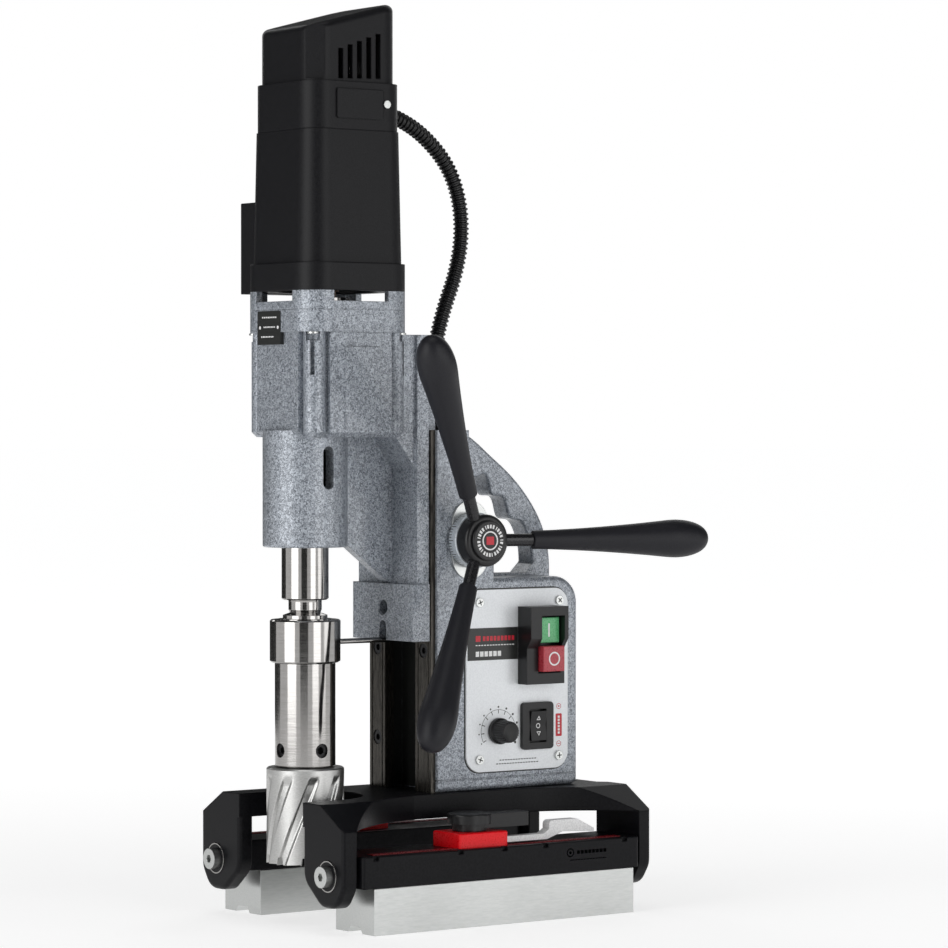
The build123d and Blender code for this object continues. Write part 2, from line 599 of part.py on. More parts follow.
with BuildPart() as potentiometer:
    with BuildSketch(Plane.YZ.offset(PANEL_X)):
        with Locations(SPEED_YZ):
            Circle(3.8)
            Circle(3.0, mode=Mode.SUBTRACT)
    extrude(amount=-9.2)
    with BuildSketch(Plane.YZ.offset(PANEL_X - 9)):
        with Locations(SPEED_YZ):
            Circle(9)
    extrude(amount=-9)
potentiometer.part.label = "potentiometer"
export_step(potentiometer.part, "parts/potentiometer.step")

# Electronic speed board on its standoffs
with BuildPart() as control_board:
    with Locations((-31, 156, 167)):
        Box(1.6, 56, 98)
    with Locations((-26, 140, 190), (-26, 146, 150), (-26, 172, 198)):
        Box(8.4, 18, 22)
    with Locations((-22, 174, 140)):
        Cylinder(7, 17, rotation=(0, 90, 0))
    with Locations(*[(-32.6, y, z) for y in (132, 180) for z in (122, 212)]):
        Cylinder(2, 1.7, rotation=(0, 90, 0))
control_board.part.label = "control_board"
export_step(control_board.part, "parts/control_board.step")

# Mains cable gland in the rear wall
with BuildPart() as mains_gland:
    with Locations(Plane((0, BOX_REAR - 6, 120), z_dir=(0, 1, 0))):
        Cylinder(8, 6, align=(Align.CENTER, Align.CENTER, Align.MIN))
    with BuildSketch(Plane.XZ.offset(-BOX_REAR)):
        with Locations((0, 120)):
            RegularPolygon(11, 6)
    extrude(amount=-5)
    with BuildSketch(Plane.XZ.offset(-(BOX_REAR + 5))):
        with Locations((0, 120)):
            Circle(9)
    extrude(amount=-7, taper=12)
    with Locations((0, BOX_REAR, 120)):
        Cylinder(3.8, 60, rotation=(90, 0, 0), mode=Mode.SUBTRACT)
mains_gland.part.label = "mains_gland"
export_step(mains_gland.part, "parts/mains_gland.step")

# ---- Feed: pinion shaft, hub and three handles ----------------------------------------
with BuildPart() as bearing_plates:
    for plane_x, away in ((FRAME_HALF, 1), (-FRAME_HALF, -1)):
        with BuildSketch(Plane.YZ.offset(plane_x)):
            with Locations((HUB_Y, HUB_Z)):
                SlotOverall(56, 31, rotation=90)
                Circle(11.5, mode=Mode.SUBTRACT)
        extrude(amount=1.8 * away)
bearing_plates.part.label = "bearing_plates"
export_step(bearing_plates.part, "parts/bearing_plates.step")

with BuildPart() as pinion_bushes:
    for inner_x, outward in ((19.5, 1), (-19.5, -1)):
        with BuildSketch(Plane.YZ.offset(inner_x)):
            with Locations((HUB_Y, HUB_Z)):
                Circle(12 - 0.02)
                Circle(8 + RUN_GAP, mode=Mode.SUBTRACT)
        extrude(amount=(FRAME_HALF - 19.5) * outward)
pinion_bushes.part.label = "pinion_bushes"
export_step(pinion_bushes.part, "parts/pinion_bushes.step")

with BuildPart() as pinion_shaft:
    with BuildSketch(Plane.YZ.offset(-FRAME_HALF + 0.5)):
        with Locations((HUB_Y, HUB_Z)):
            Circle(8)
    extrude(amount=FRAME_HALF + 57)
    # Toothed section, with one tooth pointing straight at the rack
    with BuildSketch(Plane.YZ.offset(-9)):
        with Locations((HUB_Y, HUB_Z)):
            Circle(PITCH_R - 1.25 * TOOTH_MODULE)
            with PolarLocations(0, PINION_TEETH, start_angle=180):
                Polygon(
                    (12.4, -1.35),
                    (PITCH_R, -0.95),
                    (PITCH_R + 0.9 * TOOTH_MODULE, -0.38),
                    (PITCH_R + 0.9 * TOOTH_MODULE, 0.38),
                    (PITCH_R, 0.95),
                    (12.4, 1.35),
                    align=None,
                )
    extrude(amount=18)
pinion_shaft.part.label = "pinion_shaft"
export_step(pinion_shaft.part, "parts/pinion_shaft.step")

with BuildPart() as dial_ring:
    with BuildSketch(Plane.YZ.offset(FRAME_HALF + 2.4)):
        with Locations((HUB_Y, HUB_Z)):
            Circle(19.7)
            Circle(12.05, mode=Mode.SUBTRACT)
    extrude(amount=8.4)
    chamfer(dial_ring.edges().filter_by(GeomType.CIRCLE).sort_by(SortBy.RADIUS)[-2:], 0.6)
dial_ring.part.label = "dial_ring"
export_step(dial_ring.part, "parts/dial_ring.step")

arm_angles = [0, 120, 240]


def arm_plane(angle, along=0.0):
    """Plane across a feed arm, facing outwards, at a distance along it from the hub axis."""
    turn, tilt = math.radians(angle), math.radians(ARM_TILT)
    direction = Vector(
        math.sin(tilt), math.cos(tilt) * math.cos(turn), math.cos(tilt) * math.sin(turn)
    )
    return Plane(Vector(ARM_X, HUB_Y, HUB_Z) + direction * along, z_dir=direction)


with BuildPart() as feed_hub:
    hub_start = FRAME_HALF + 2.4
    with BuildSketch(Plane.YZ.offset(hub_start)):
        with Locations((HUB_Y, HUB_Z)):
            Circle(12)
    extrude(amount=10)
    with BuildSketch(Plane.YZ.offset(hub_start + 8.8)):
        with Locations((HUB_Y, HUB_Z)):
            Circle(18.6)
    extrude(amount=12)
    fillet(feed_hub.edges().group_by(Axis.X)[-1], 3)
    with BuildSketch(Plane.YZ.offset(hub_start)):
        with Locations((HUB_Y, HUB_Z)):
            Circle(8.02)
    extrude(amount=15, mode=Mode.SUBTRACT)
    for angle in arm_angles:
        with Locations(arm_plane(angle, 9)):
            Cylinder(
                4.52, 20, align=(Align.CENTER, Align.CENTER, Align.MIN), mode=Mode.SUBTRACT
            )
feed_hub.part.label = "feed_hub"
export_step(feed_hub.part, "parts/feed_hub.step")

with BuildPart() as hub_cap:
    with BuildSketch(Plane.YZ.offset(hub_start + 20.8)):
        with Locations((HUB_Y, HUB_Z)):
            Circle(14.5)
    extrude(amount=2.5)
    fillet(hub_cap.edges().group_by(Axis.X)[-1], 1.2)
hub_cap.part.label = "hub_cap"
export_step(hub_cap.part, "parts/hub_cap.step")

with BuildPart() as feed_rods:
    for angle in arm_angles:
        with Locations(arm_plane(angle, 11)):
            Cylinder(4.5, 108, align=(Align.CENTER, Align.CENTER, Align.MIN))
feed_rods.part.label = "feed_rods"
export_step(feed_rods.part, "parts/feed_rods.step")

# Three turned grips on the rods
with BuildPart() as feed_grips:
    for angle in arm_angles:
        grip = arm_plane(angle)
        with BuildSketch(Plane(grip.origin, x_dir=grip.x_dir, z_dir=-grip.y_dir)):
            with BuildLine():
                Line((0, 40), (6.6, 40))
                Spline(
                    (6.6, 40), (8.6, 85), (13.0, 138), (13.6, 152), (0, ARM_REACH),
                    tangents=[(0.02, 1), (-1, 0)],
                )
                Line((0, ARM_REACH), (0, 40))
            make_face()
        revolve(axis=Axis(grip.origin, grip.z_dir))
        with Locations(arm_plane(angle, 30)):
            Cylinder(
                4.55, 90, align=(Align.CENTER, Align.CENTER, Align.MIN), mode=Mode.SUBTRACT
            )
feed_grips.part.label = "feed_grips"
export_step(feed_grips.part, "parts/feed_grips.step")

# ---- Head: gear case, quill housing and carriage in one casting -----------------------
with BuildPart() as head_casting:
    # Gear case and its top flange
    with BuildSketch(Plane.XY.offset(CASE_BOTTOM)):
        with Locations((0, MOTOR_Y)):
            Rectangle(52, 2 * CASE_HALF)
            Rectangle(2 * CASE_HALF, 52)
            RectangleRounded(75, 75, 10)
            # Bolt columns under the flange screws
            with GridLocations(66, 66, 2, 2):
                Circle(8)
    extrude(amount=FLANGE_BOTTOM - CASE_BOTTOM)
    chamfer(head_casting.edges().group_by(Axis.Z)[0], 3.5)
    with BuildSketch(Plane.XY.offset(FLANGE_BOTTOM)):
        with Locations((0, MOTOR_Y)):
            RectangleRounded(2 * FLANGE_HALF, 2 * FLANGE_HALF, 20)
    extrude(amount=CASE_TOP - FLANGE_BOTTOM)
    # Quill housing around the spindle
    with BuildSketch(Plane.XY.offset(QUILL_BOTTOM)):
        Circle(QUILL_R)
    extrude(amount=CASE_BOTTOM - QUILL_BOTTOM + 5)
    fillet(head_casting.edges().group_by(Axis.Z)[0], 1.5)
    # Carriage plate with the heavier block at its foot
    with BuildSketch(Plane.XY.offset(CARRIAGE_BOTTOM)):
        with Locations((0, (66.5 + CARRIAGE_BACK) / 2)):
            Rectangle(2 * CARRIAGE_HALF, CARRIAGE_BACK - 66.5)
    extrude(amount=40.6)
    with BuildSketch(Plane.XY.offset(CARRIAGE_BOTTOM + 40)):
        with Locations((0, (71 + CARRIAGE_BACK) / 2)):
            Rectangle(2 * CARRIAGE_HALF - 1.6, CARRIAGE_BACK - 71)
    extrude(amount=CARRIAGE_TOP - CARRIAGE_BOTTOM - 40)
    # Neck between the gear case and the carriage, with a sloping foot
    with BuildSketch(Plane.YZ):
        Polygon(
            (50, CASE_BOTTOM + 6),
            (50, CARRIAGE_TOP),
            (73, CARRIAGE_TOP),
            (73, 317),
            align=None,
        )
    extrude(amount=34, both=True)
    # Web from the quill housing down to the carriage block
    with BuildSketch(Plane.YZ):
        Polygon(
            (24, QUILL_BOTTOM),
            (24, CASE_BOTTOM + 8),
            (73, CASE_BOTTOM + 8),
            (73, CARRIAGE_BOTTOM + 40),
            (70, CARRIAGE_BOTTOM + 40),
            (34, QUILL_BOTTOM),
            align=None,
        )
    extrude(amount=4.2, both=True)
    # Tongue that runs behind the rails and carries the rack
    with BuildSketch(Plane.XY.offset(CARRIAGE_BOTTOM)):
        with Locations((0, (CARRIAGE_BACK + RAIL_BACK) / 2)):
            Rectangle(2 * RAIL_IN - 0.8, RAIL_BACK - CARRIAGE_BACK + 2)
        with Locations((0, 93.0)):
            Rectangle(2 * CHANNEL_HALF - 0.8, 5.6)
        with Locations((0, 94.4)):
            Rectangle(16.2, 3.6, mode=Mode.SUBTRACT)
    extrude(amount=CARRIAGE_TOP - CARRIAGE_BOTTOM)
    # Gear chamber, spindle bore and bearing seats
    with BuildSketch(Plane.XY.offset(CASE_BOTTOM + 7)):
        with Locations((0, MOTOR_Y)):
            Circle(CHAMBER_R)
    extrude(amount=CASE_TOP, mode=Mode.SUBTRACT)
    with Locations((0, 0, QUILL_BOTTOM - 1)):
        Cylinder(20, 120, align=(Align.CENTER, Align.CENTER, Align.MIN), mode=Mode.SUBTRACT)
    with Locations((0, 0, QUILL_BOTTOM - 1)):
        Cylinder(25, 19, align=(Align.CENTER, Align.CENTER, Align.MIN), mode=Mode.SUBTRACT)
    # Drift slots on both sides of the quill housing
    with BuildSketch(Plane.YZ):
        with Locations((0, DRIFT_Z)):
            SlotOverall(DRIFT_HIGH, DRIFT_WIDE, rotation=90)
    extrude(amount=40, both=True, mode=Mode.SUBTRACT)
    # Shallow raised panel on each side of the gear case
    for outward in (1, -1):
        with BuildSketch(Plane.YZ.offset(outward * (CASE_HALF - 0.1))):
            with Locations((MOTOR_Y + 1, 377)):
                RectangleRounded(30, 57, 2)
        extrude(amount=1.0 * outward)
    # Threaded hole in the carriage block and the slot for the collar rod
    with Locations((0, 66.5, 220.5)):
        Cylinder(GUARD_HOLE_R, 24, rotation=(90, 0, 0), mode=Mode.SUBTRACT)
        Cylinder(GUARD_HOLE_R + 0.8, 1.2, rotation=(90, 0, 0), mode=Mode.SUBTRACT)
    with BuildSketch(Plane.XZ.offset(-66)):
        with Locations((0, CARRIAGE_BOTTOM + 2)):
            SlotOverall(24, 8.4, rotation=90)
    extrude(amount=-9, mode=Mode.SUBTRACT)
    # Flange screw holes
    with Locations((0, MOTOR_Y, FLANGE_BOTTOM)):
        with GridLocations(SCREW_PITCH, SCREW_PITCH, 2, 2):
            Cylinder(2.6, 60, mode=Mode.SUBTRACT)
            Cylinder(5, 6, align=(Align.CENTER, Align.CENTER, Align.MAX), mode=Mode.SUBTRACT)
head_casting.part.label = "head_casting"
export_step(head_casting.part, "parts/head_casting.step")

with BuildPart() as feed_rack:
    rack_low, rack_high = CARRIAGE_BOTTOM + 3, CARRIAGE_TOP - 30
    with BuildSketch(Plane.YZ):
        with Locations(((92.7 + RACK_PITCH_Y - 1.9) / 2, (rack_low + rack_high) / 2)):
            Rectangle(RACK_PITCH_Y - 1.9 - 92.7, rack_high - rack_low)
        # Teeth, with a gap centred on the pinion axis
        first = math.ceil((rack_low + 3 - HUB_Z) / TOOTH_PITCH - 0.5)
        last = math.floor((rack_high - 3 - HUB_Z) / TOOTH_PITCH - 0.5)
        for count in range(first, last + 1):
            tooth_z = HUB_Z + (count + 0.5) * TOOTH_PITCH
            Polygon(
                (RACK_PITCH_Y - 2.2, tooth_z - 1.62),
                (RACK_PITCH_Y - 2.2, tooth_z + 1.62),
                (RACK_PITCH_Y + 1.2, tooth_z + 0.5),
                (RACK_PITCH_Y + 1.2, tooth_z - 0.5),
                align=None,
            )
    extrude(amount=8, both=True)
feed_rack.part.label = "feed_rack"
export_step(feed_rack.part, "parts/feed_rack.step")

# Adapter ring between gear case and motor, open at the sides for cooling air
with BuildPart() as motor_adapter:
    with BuildSketch(Plane.XY.offset(CASE_TOP)):
        with Locations((0, MOTOR_Y)):
            RectangleRounded(2 * FLANGE_HALF, 2 * FLANGE_HALF, 20)
            Circle(16, mode=Mode.SUBTRACT)
    extrude(amount=4.5)
    with BuildSketch(Plane.XY.offset(CASE_TOP)):
        with Locations((0, MOTOR_Y)):
            RectangleRounded(2 * FLANGE_HALF, 2 * FLANGE_HALF, 20)
            RectangleRounded(2 * 40, 2 * 40, 16, mode=Mode.SUBTRACT)
    extrude(amount=ADAPTER_TOP - CASE_TOP)
    for across_x, across_y in ((100, 46), (46, 100)):
        with Locations((0, MOTOR_Y - 1.5 if across_x > 50 else MOTOR_Y, ADAPTER_TOP)):
            Box(across_x, across_y, 2 * 7.4, mode=Mode.SUBTRACT)
motor_adapter.part.label = "motor_adapter"
export_step(motor_adapter.part, "parts/motor_adapter.step")

with BuildPart() as spindle_bearings:
    with BuildSketch(Plane.XY.offset(QUILL_BOTTOM + 1)):
        Circle(25 - 0.02)
        Circle(SPINDLE_R + RUN_GAP, mode=Mode.SUBTRACT)
    extrude(amount=16)
    with BuildSketch(Plane.XY.offset(CASE_BOTTOM - 8)):
        Circle(20 - 0.02)
        Circle(SPINDLE_R + RUN_GAP, mode=Mode.SUBTRACT)
    extrude(amount=12)
spindle_bearings.part.label = "spindle_bearings"
export_step(spindle_bearings.part, "parts/spindle_bearings.step")

# ---- Motor ----------------------------------------------------------------------------
with BuildPart() as motor_housing:
    with BuildSketch(Plane.XY.offset(ADAPTER_TOP)):
        with Locations((0, MOTOR_Y)):
            RectangleRounded(2 * FLANGE_HALF, 2 * FLANGE_HALF, 20)
    extrude(amount=19.3)
    with BuildSketch(Plane.XY.offset(ADAPTER_TOP + 19.3)):
        with Locations((0, MOTOR_Y)):
            RectangleRounded(2 * 42.6, 2 * 42.6, 18)
    extrude(amount=MOTOR_TOP - ADAPTER_TOP - 19.3, taper=1.25)
    with BuildSketch(Plane.XY.offset(ADAPTER_TOP - 1)):
        with Locations((0, MOTOR_Y)):
            Circle(35.2)
    extrude(amount=MOTOR_TOP - ADAPTER_TOP + 2, mode=Mode.SUBTRACT)
motor_housing.part.label = "motor_housing"
export_step(motor_housing.part, "parts/motor_housing.step")

with BuildPart() as motor_cap:
    with BuildSketch(Plane.XY.offset(MOTOR_TOP)):
        with Locations((0, MOTOR_Y)):
            RectangleRounded(2 * CAP_HALF, 2 * CAP_HALF, 17.5)
    extrude(amount=CAP_STEP - MOTOR_TOP)
    with BuildSketch(Plane.XY.offset(CAP_STEP)):
        with Locations((0, MOTOR_Y)):
            RectangleRounded(2 * 37.7, 2 * 37.7, 16)
    extrude(amount=66)
    with BuildSketch(Plane.YZ):
        Polygon((-30, 625.8), (-30, 670), (80, 670), (80, 655.3), align=None)
    extrude(amount=60, both=True, mode=Mode.SUBTRACT)
    fillet(motor_cap.faces().sort_by(Axis.Z)[-1].edges(), 5)
    # Hollow for the commutator end
    with BuildSketch(Plane.XY.offset(MOTOR_TOP - 1)):
        with Locations((0, MOTOR_Y)):
            RectangleRounded(2 * 33.5, 2 * 33.5, 13)
    extrude(amount=64, mode=Mode.SUBTRACT)
    # Recess down the front corner, with a ledge for the cap screw
    with Locations(Plane((37.5, MOTOR_Y - 37.5, CAP_STEP + 1.5), x_dir=(1, -1, 0), z_dir=(0, 0, 1))):
        Box(
            16, 24, 60, align=(Align.CENTER, Align.CENTER, Align.MIN), mode=Mode.SUBTRACT
        )
    # Cooling slots on both sides
    for count in range(5):
        with Locations((0, 5 + 7.9 * count, 603 + 1.6 * count)):
            Box(120, 4.2, 21 + 2.6 * count, mode=Mode.SUBTRACT)
    # Cable conduit opening at the back
    with Locations((0, MOTOR_Y + 38, 577)):
        Cylinder(5, 20, rotation=(90, 0, 0), mode=Mode.SUBTRACT)
motor_cap.part.label = "motor_cap"
export_step(motor_cap.part, "parts/motor_cap.step")

with BuildPart() as brush_covers:
    for outward in (1, -1):
        with BuildSketch(Plane.YZ.offset(outward * CAP_HALF)):
            with Locations((MOTOR_Y, 575)):
                RectangleRounded(39, 21, 1.5)
        extrude(amount=1.4 * outward)
brush_covers.part.label = "brush_covers"
export_step(brush_covers.part, "parts/brush_covers.step")

with BuildPart() as electronics_box:
    with Locations((-54, MOTOR_Y, 476.5)):
        Box(24, 64, 65)
    fillet(electronics_box.edges().group_by(Axis.X)[0], 4)
    with BuildSketch(Plane.XY.offset(400)):
        with Locations((0, MOTOR_Y)):
            RectangleRounded(2 * 45.05, 2 * 45.05, 20)
    extrude(amount=200, mode=Mode.SUBTRACT)
electronics_box.part.label = "electronics_box"
export_step(electronics_box.part, "parts/electronics_box.step")

# Screws of the head: four up through the case flange, one through each brush cover end
with BuildPart() as head_screws:
    with Locations((0, MOTOR_Y, FLANGE_BOTTOM)):
        with GridLocations(SCREW_PITCH, SCREW_PITCH, 2, 2):
            Cylinder(2.5, 14, align=(Align.CENTER, Align.CENTER, Align.MIN))
            Cylinder(4.2, 1.4, align=(Align.CENTER, Align.CENTER, Align.MAX))
    for outward in (1, -1):
        with BuildSketch(Plane.YZ.offset(outward * (CAP_HALF + 1.4))):
            with Locations((41, 575.5)):
                Circle(2.8)
        extrude(amount=1.2 * outward)
head_screws.part.label = "head_screws"
export_step(head_screws.part, "parts/head_screws.step")

with BuildPart() as stator:
    with BuildSketch(Plane.XY.offset(470)):
        with Locations((0, MOTOR_Y)):
            Circle(35)
            Circle(24.5, mode=Mode.SUBTRACT)
    extrude(amount=70)
stator.part.label = "stator"
export_step(stator.part, "parts/stator.step")

# Motor bearings: one over the adapter, one under the cap's roof
with BuildPart() as motor_bearings:
    with BuildSketch(Plane.XY.offset(CASE_TOP)):
        with Locations((0, MOTOR_Y)):
            Circle(16 - 0.02)
            Circle(6 + RUN_GAP, mode=Mode.SUBTRACT)
    extrude(amount=9)
    with BuildSketch(Plane.XY.offset(596)):
        with Locations((0, MOTOR_Y)):
            Circle(13)
            Circle(5 + RUN_GAP, mode=Mode.SUBTRACT)
    extrude(amount=8)
    with Locations((0, MOTOR_Y, 600)):
        Box(66.9, 8, 8)
        Cylinder(13, 8)
        Cylinder(5 + RUN_GAP, 40, mode=Mode.SUBTRACT)
motor_bearings.part.label = "motor_bearings"
export_step(motor_bearings.part, "parts/motor_bearings.step")

# ---- Turning parts --------------------------------------------------------------------
# Two-stage spur train, module 1: motor pinion, idler wheel and pinion, spindle gear
MOTOR_TEETH, WHEEL_TEETH, IDLER_TEETH, SPINDLE_TEETH = 12, 30, 12, 36
LOW_GEAR_Z, HIGH_GEAR_Z, GEAR_HIGH = 354.0, 400.0, 12.0
to_spindle, to_motor = (IDLER_TEETH + SPINDLE_TEETH) / 2, (MOTOR_TEETH + WHEEL_TEETH) / 2
IDLER_Y = (MOTOR_Y**2 + to_spindle**2 - to_motor**2) / (2 * MOTOR_Y)
IDLER_X = math.sqrt(to_spindle**2 - IDLER_Y**2)
LOW_MESH = math.degrees(math.atan2(IDLER_Y, IDLER_X))
HIGH_MESH = math.degrees(math.atan2(MOTOR_Y - IDLER_Y, -IDLER_X))


def toothed_disc(teeth, first_tooth):
    """Outline of a module 1 spur gear with straight-flanked teeth, in the active sketch."""
    pitch_radius, depth = teeth / 2, 1.25
    step = math.pi * pitch_radius / teeth
    Circle(pitch_radius - depth)
    with PolarLocations(0, teeth, start_angle=first_tooth):
        Polygon(
            (pitch_radius - depth - 0.4, -0.62 * step),
            (pitch_radius, -0.4 * step),
            (pitch_radius + 0.7 * depth, -0.2 * step),
            (pitch_radius + 0.7 * depth, 0.2 * step),
            (pitch_radius, 0.4 * step),
            (pitch_radius - depth - 0.4, 0.62 * step),
            align=None,
        )


with BuildPart() as spindle:
    with BuildSketch(Plane.XZ):
        with BuildLine():
            Polyline(
                (12.0, SPINDLE_BOTTOM),
                (SPINDLE_R - 1, SPINDLE_BOTTOM),
                (SPINDLE_R, SPINDLE_BOTTOM + 1),
                (SPINDLE_R, 350),
                (14.5, 350),
                (14.5, SPINDLE_TOP),
                (0, SPINDLE_TOP),
                (0, 336),
                (9.4, 336),
                (9.4, 315),
                (12.0, SPINDLE_BOTTOM),
            )
        make_face()
    revolve(axis=Axis.Z)
    with BuildSketch(Plane.YZ):
        with Locations((0, DRIFT_Z)):
            SlotOverall(DRIFT_HIGH, DRIFT_WIDE, rotation=90)
    extrude(amount=40, both=True, mode=Mode.SUBTRACT)
spindle.part.label = "spindle"
export_step(spindle.part, "parts/spindle.step")

with BuildPart() as spindle_gear:
    with BuildSketch(Plane.XY.offset(LOW_GEAR_Z)):
        toothed_disc(SPINDLE_TEETH, LOW_MESH)
        Circle(14.55, mode=Mode.SUBTRACT)
    extrude(amount=GEAR_HIGH)
spindle_gear.part.label = "spindle_gear"
export_step(spindle_gear.part, "parts/spindle_gear.step")

with BuildPart() as cutter_arbor:
    with BuildSketch(Plane.XZ):
        with BuildLine():
            Polyline(
                (0, ARBOR_BOTTOM + 32),
                (SHANK_R + 0.05, ARBOR_BOTTOM + 32),
                (SHANK_R + 0.05, ARBOR_BOTTOM),
                (ARBOR_R - 1, ARBOR_BOTTOM),
                (ARBOR_R, ARBOR_BOTTOM + 1),
                (ARBOR_R, COLLAR_BOTTOM - 0.5),
                (ARBOR_NECK_R, COLLAR_BOTTOM - 0.5),
                (ARBOR_NECK_R, 214.2),
                (15.8, 214.2),
                (15.8, 216.7),
                (11.0, 218.4),
                (11.8, 220.5),
                (11.8, SPINDLE_BOTTOM - 1.5),
                (11.9, SPINDLE_BOTTOM),
                (9.35, 313),
                (0, 313),
                close=True,
            )
        make_face()
    revolve(axis=Axis.Z)
    # Holes for the two clamping screws
    with Locations((ARBOR_R, 0, SCREW_Z)):
        Cylinder(5, 26, rotation=(0, 90, 0), mode=Mode.SUBTRACT)
    with Locations((0, -ARBOR_R, SCREW_Z)):
        Cylinder(5, 26, rotation=(90, 0, 0), mode=Mode.SUBTRACT)
cutter_arbor.part.label = "cutter_arbor"
export_step(cutter_arbor.part, "parts/cutter_arbor.step")

with BuildPart() as arbor_screws:
    for plane in (
        Plane((SHANK_R + 0.2, 0, SCREW_Z), z_dir=(1, 0, 0)),
        Plane((0, -SHANK_R - 0.2, SCREW_Z), z_dir=(0, -1, 0)),
    ):
        with Locations(plane):
            Cylinder(4.95, 9.6, align=(Align.CENTER, Align.CENTER, Align.MIN))
        with BuildSketch(plane.offset(5)):
            RegularPolygon(2.9, 6)
        extrude(amount=6, mode=Mode.SUBTRACT)
arbor_screws.part.label = "arbor_screws"
export_step(arbor_screws.part, "parts/arbor_screws.step")

# Annular cutter with six helical flutes
CUTTER_FLUTES, FLUTE_TURN = 6, 36.0
with BuildPart() as annular_cutter:
    with BuildSketch(Plane.XZ):
        with BuildLine():
            Polyline(
                (0, CUTTER_TOP - 10),
                (CUTTER_R - 4.6, CUTTER_TOP - 10),
                (CUTTER_R - 4.6, CUTTER_BOTTOM + 1),
                (CUTTER_R - 2.5, CUTTER_BOTTOM),
                (CUTTER_R, CUTTER_BOTTOM + 1.2),
                (CUTTER_R, CUTTER_TOP - 1.2),
                (CUTTER_R - 1.2, CUTTER_TOP),
                (SHANK_R, CUTTER_TOP),
                (SHANK_R, CUTTER_TOP + 31),
                (0, CUTTER_TOP + 31),
                close=True,
            )
        make_face()
    revolve(axis=Axis.Z)
    flute_low, flute_high, flute_steps = CUTTER_BOTTOM - 4, CUTTER_TOP - 8, 6
    for flute in range(CUTTER_FLUTES):
        for step in range(flute_steps + 1):
            share = step / flute_steps
            height = flute_low + (flute_high - flute_low) * share
            turn = flute * 360 / CUTTER_FLUTES + FLUTE_TURN * share
            floor = CUTTER_R - 2.6 + 2.4 * max(0.0, share - 0.75) * 4
            with BuildSketch(Plane.XY.offset(height).rotated((0, 0, turn))):
                Polygon((floor, 0), (CUTTER_R + 3, -0.5), (CUTTER_R + 3, 8), (floor + 2.2, 6),
                        align=None)
        loft(mode=Mode.SUBTRACT)
    # Gullets between the cutting edges
    with Locations((0, 0, CUTTER_BOTTOM)):
        with PolarLocations(CUTTER_R - 2.5, CUTTER_FLUTES, start_angle=6):
            Box(9, 4.6, 9, mode=Mode.SUBTRACT)
    # Two clamping flats on the shank
    with Locations((SHANK_R + 4.85, 0, SCREW_Z), (0, -SHANK_R - 4.85, SCREW_Z)):
        Box(10, 10, 14, mode=Mode.SUBTRACT)
annular_cutter.part.label = "annular_cutter"
export_step(annular_cutter.part, "parts/annular_cutter.step")

# Coolant collar, kept from turning by its rod
with BuildPart() as coolant_collar:
    with BuildSketch(Plane.XZ):
        with BuildLine():
            Polyline(
                (ARBOR_NECK_R + RUN_GAP, COLLAR_BOTTOM),
                (COLLAR_R - 1, COLLAR_BOTTOM),
                (COLLAR_R, COLLAR_BOTTOM + 1),
                (COLLAR_R, COLLAR_TOP - 1),
                (COLLAR_R - 1, COLLAR_TOP),
                (ARBOR_NECK_R + RUN_GAP, COLLAR_TOP),
                close=True,
            )
        make_face()
    revolve(axis=Axis.Z)
    with Locations((0, COLLAR_R, 197)):
        Cylinder(2, 8, rotation=(90, 0, 0), mode=Mode.SUBTRACT)
coolant_collar.part.label = "coolant_collar"
export_step(coolant_collar.part, "parts/coolant_collar.step")

with BuildPart() as collar_rod:
    with Locations(Plane((0, COLLAR_R - 3.6, 197), z_dir=(0, 1, 0))):
        Cylinder(1.9, 52, align=(Align.CENTER, Align.CENTER, Align.MIN))
collar_rod.part.label = "collar_rod"
export_step(collar_rod.part, "parts/collar_rod.step")

with BuildPart() as armature:
    for low, high, radius in (
        (398, 400, 4.5), (412, 445, 6), (445, 476, 8), (476, 536, 24.0), (536, 545, 8),
        (545, 566, 14), (566, 606, 5),
    ):
        with Locations((0, MOTOR_Y, low)):
            Cylinder(radius, high - low, align=(Align.CENTER, Align.CENTER, Align.MIN))
    with BuildSketch(Plane.XY.offset(HIGH_GEAR_Z)):
        with Locations((0, MOTOR_Y)):
            toothed_disc(MOTOR_TEETH, HIGH_MESH + 180 + 180 / MOTOR_TEETH)
    extrude(amount=GEAR_HIGH)
armature.part.label = "armature"
export_step(armature.part, "parts/armature.step")

with BuildPart() as idler_gear:
    with BuildSketch(Plane.XY.offset(LOW_GEAR_Z)):
        with Locations((IDLER_X, IDLER_Y)):
            toothed_disc(IDLER_TEETH, LOW_MESH + 180 + 180 / IDLER_TEETH)
    extrude(amount=GEAR_HIGH)
    with BuildSketch(Plane.XY.offset(HIGH_GEAR_Z)):
        with Locations((IDLER_X, IDLER_Y)):
            toothed_disc(WHEEL_TEETH, HIGH_MESH)
    extrude(amount=GEAR_HIGH)
    with BuildSketch(Plane.XY.offset(CASE_BOTTOM + 8)):
        with Locations((IDLER_X, IDLER_Y)):
            Circle(4)
    extrude(amount=CASE_TOP - CASE_BOTTOM - 12)
idler_gear.part.label = "idler_gear"
export_step(idler_gear.part, "parts/idler_gear.step")

with BuildPart() as cooling_fan:
    with BuildSketch(Plane.XY.offset(447)):
        with Locations((0, MOTOR_Y)):
            Circle(33)
            Circle(8.05, mode=Mode.SUBTRACT)
    extrude(amount=2.5)
    with BuildSketch(Plane.XY.offset(449)):
        with Locations((0, MOTOR_Y)):
            with PolarLocations(22, 12):
                Rectangle(20, 1.8)
    extrude(amount=12)
cooling_fan.part.label = "cooling_fan"
export_step(cooling_fan.part, "parts/cooling_fan.step")

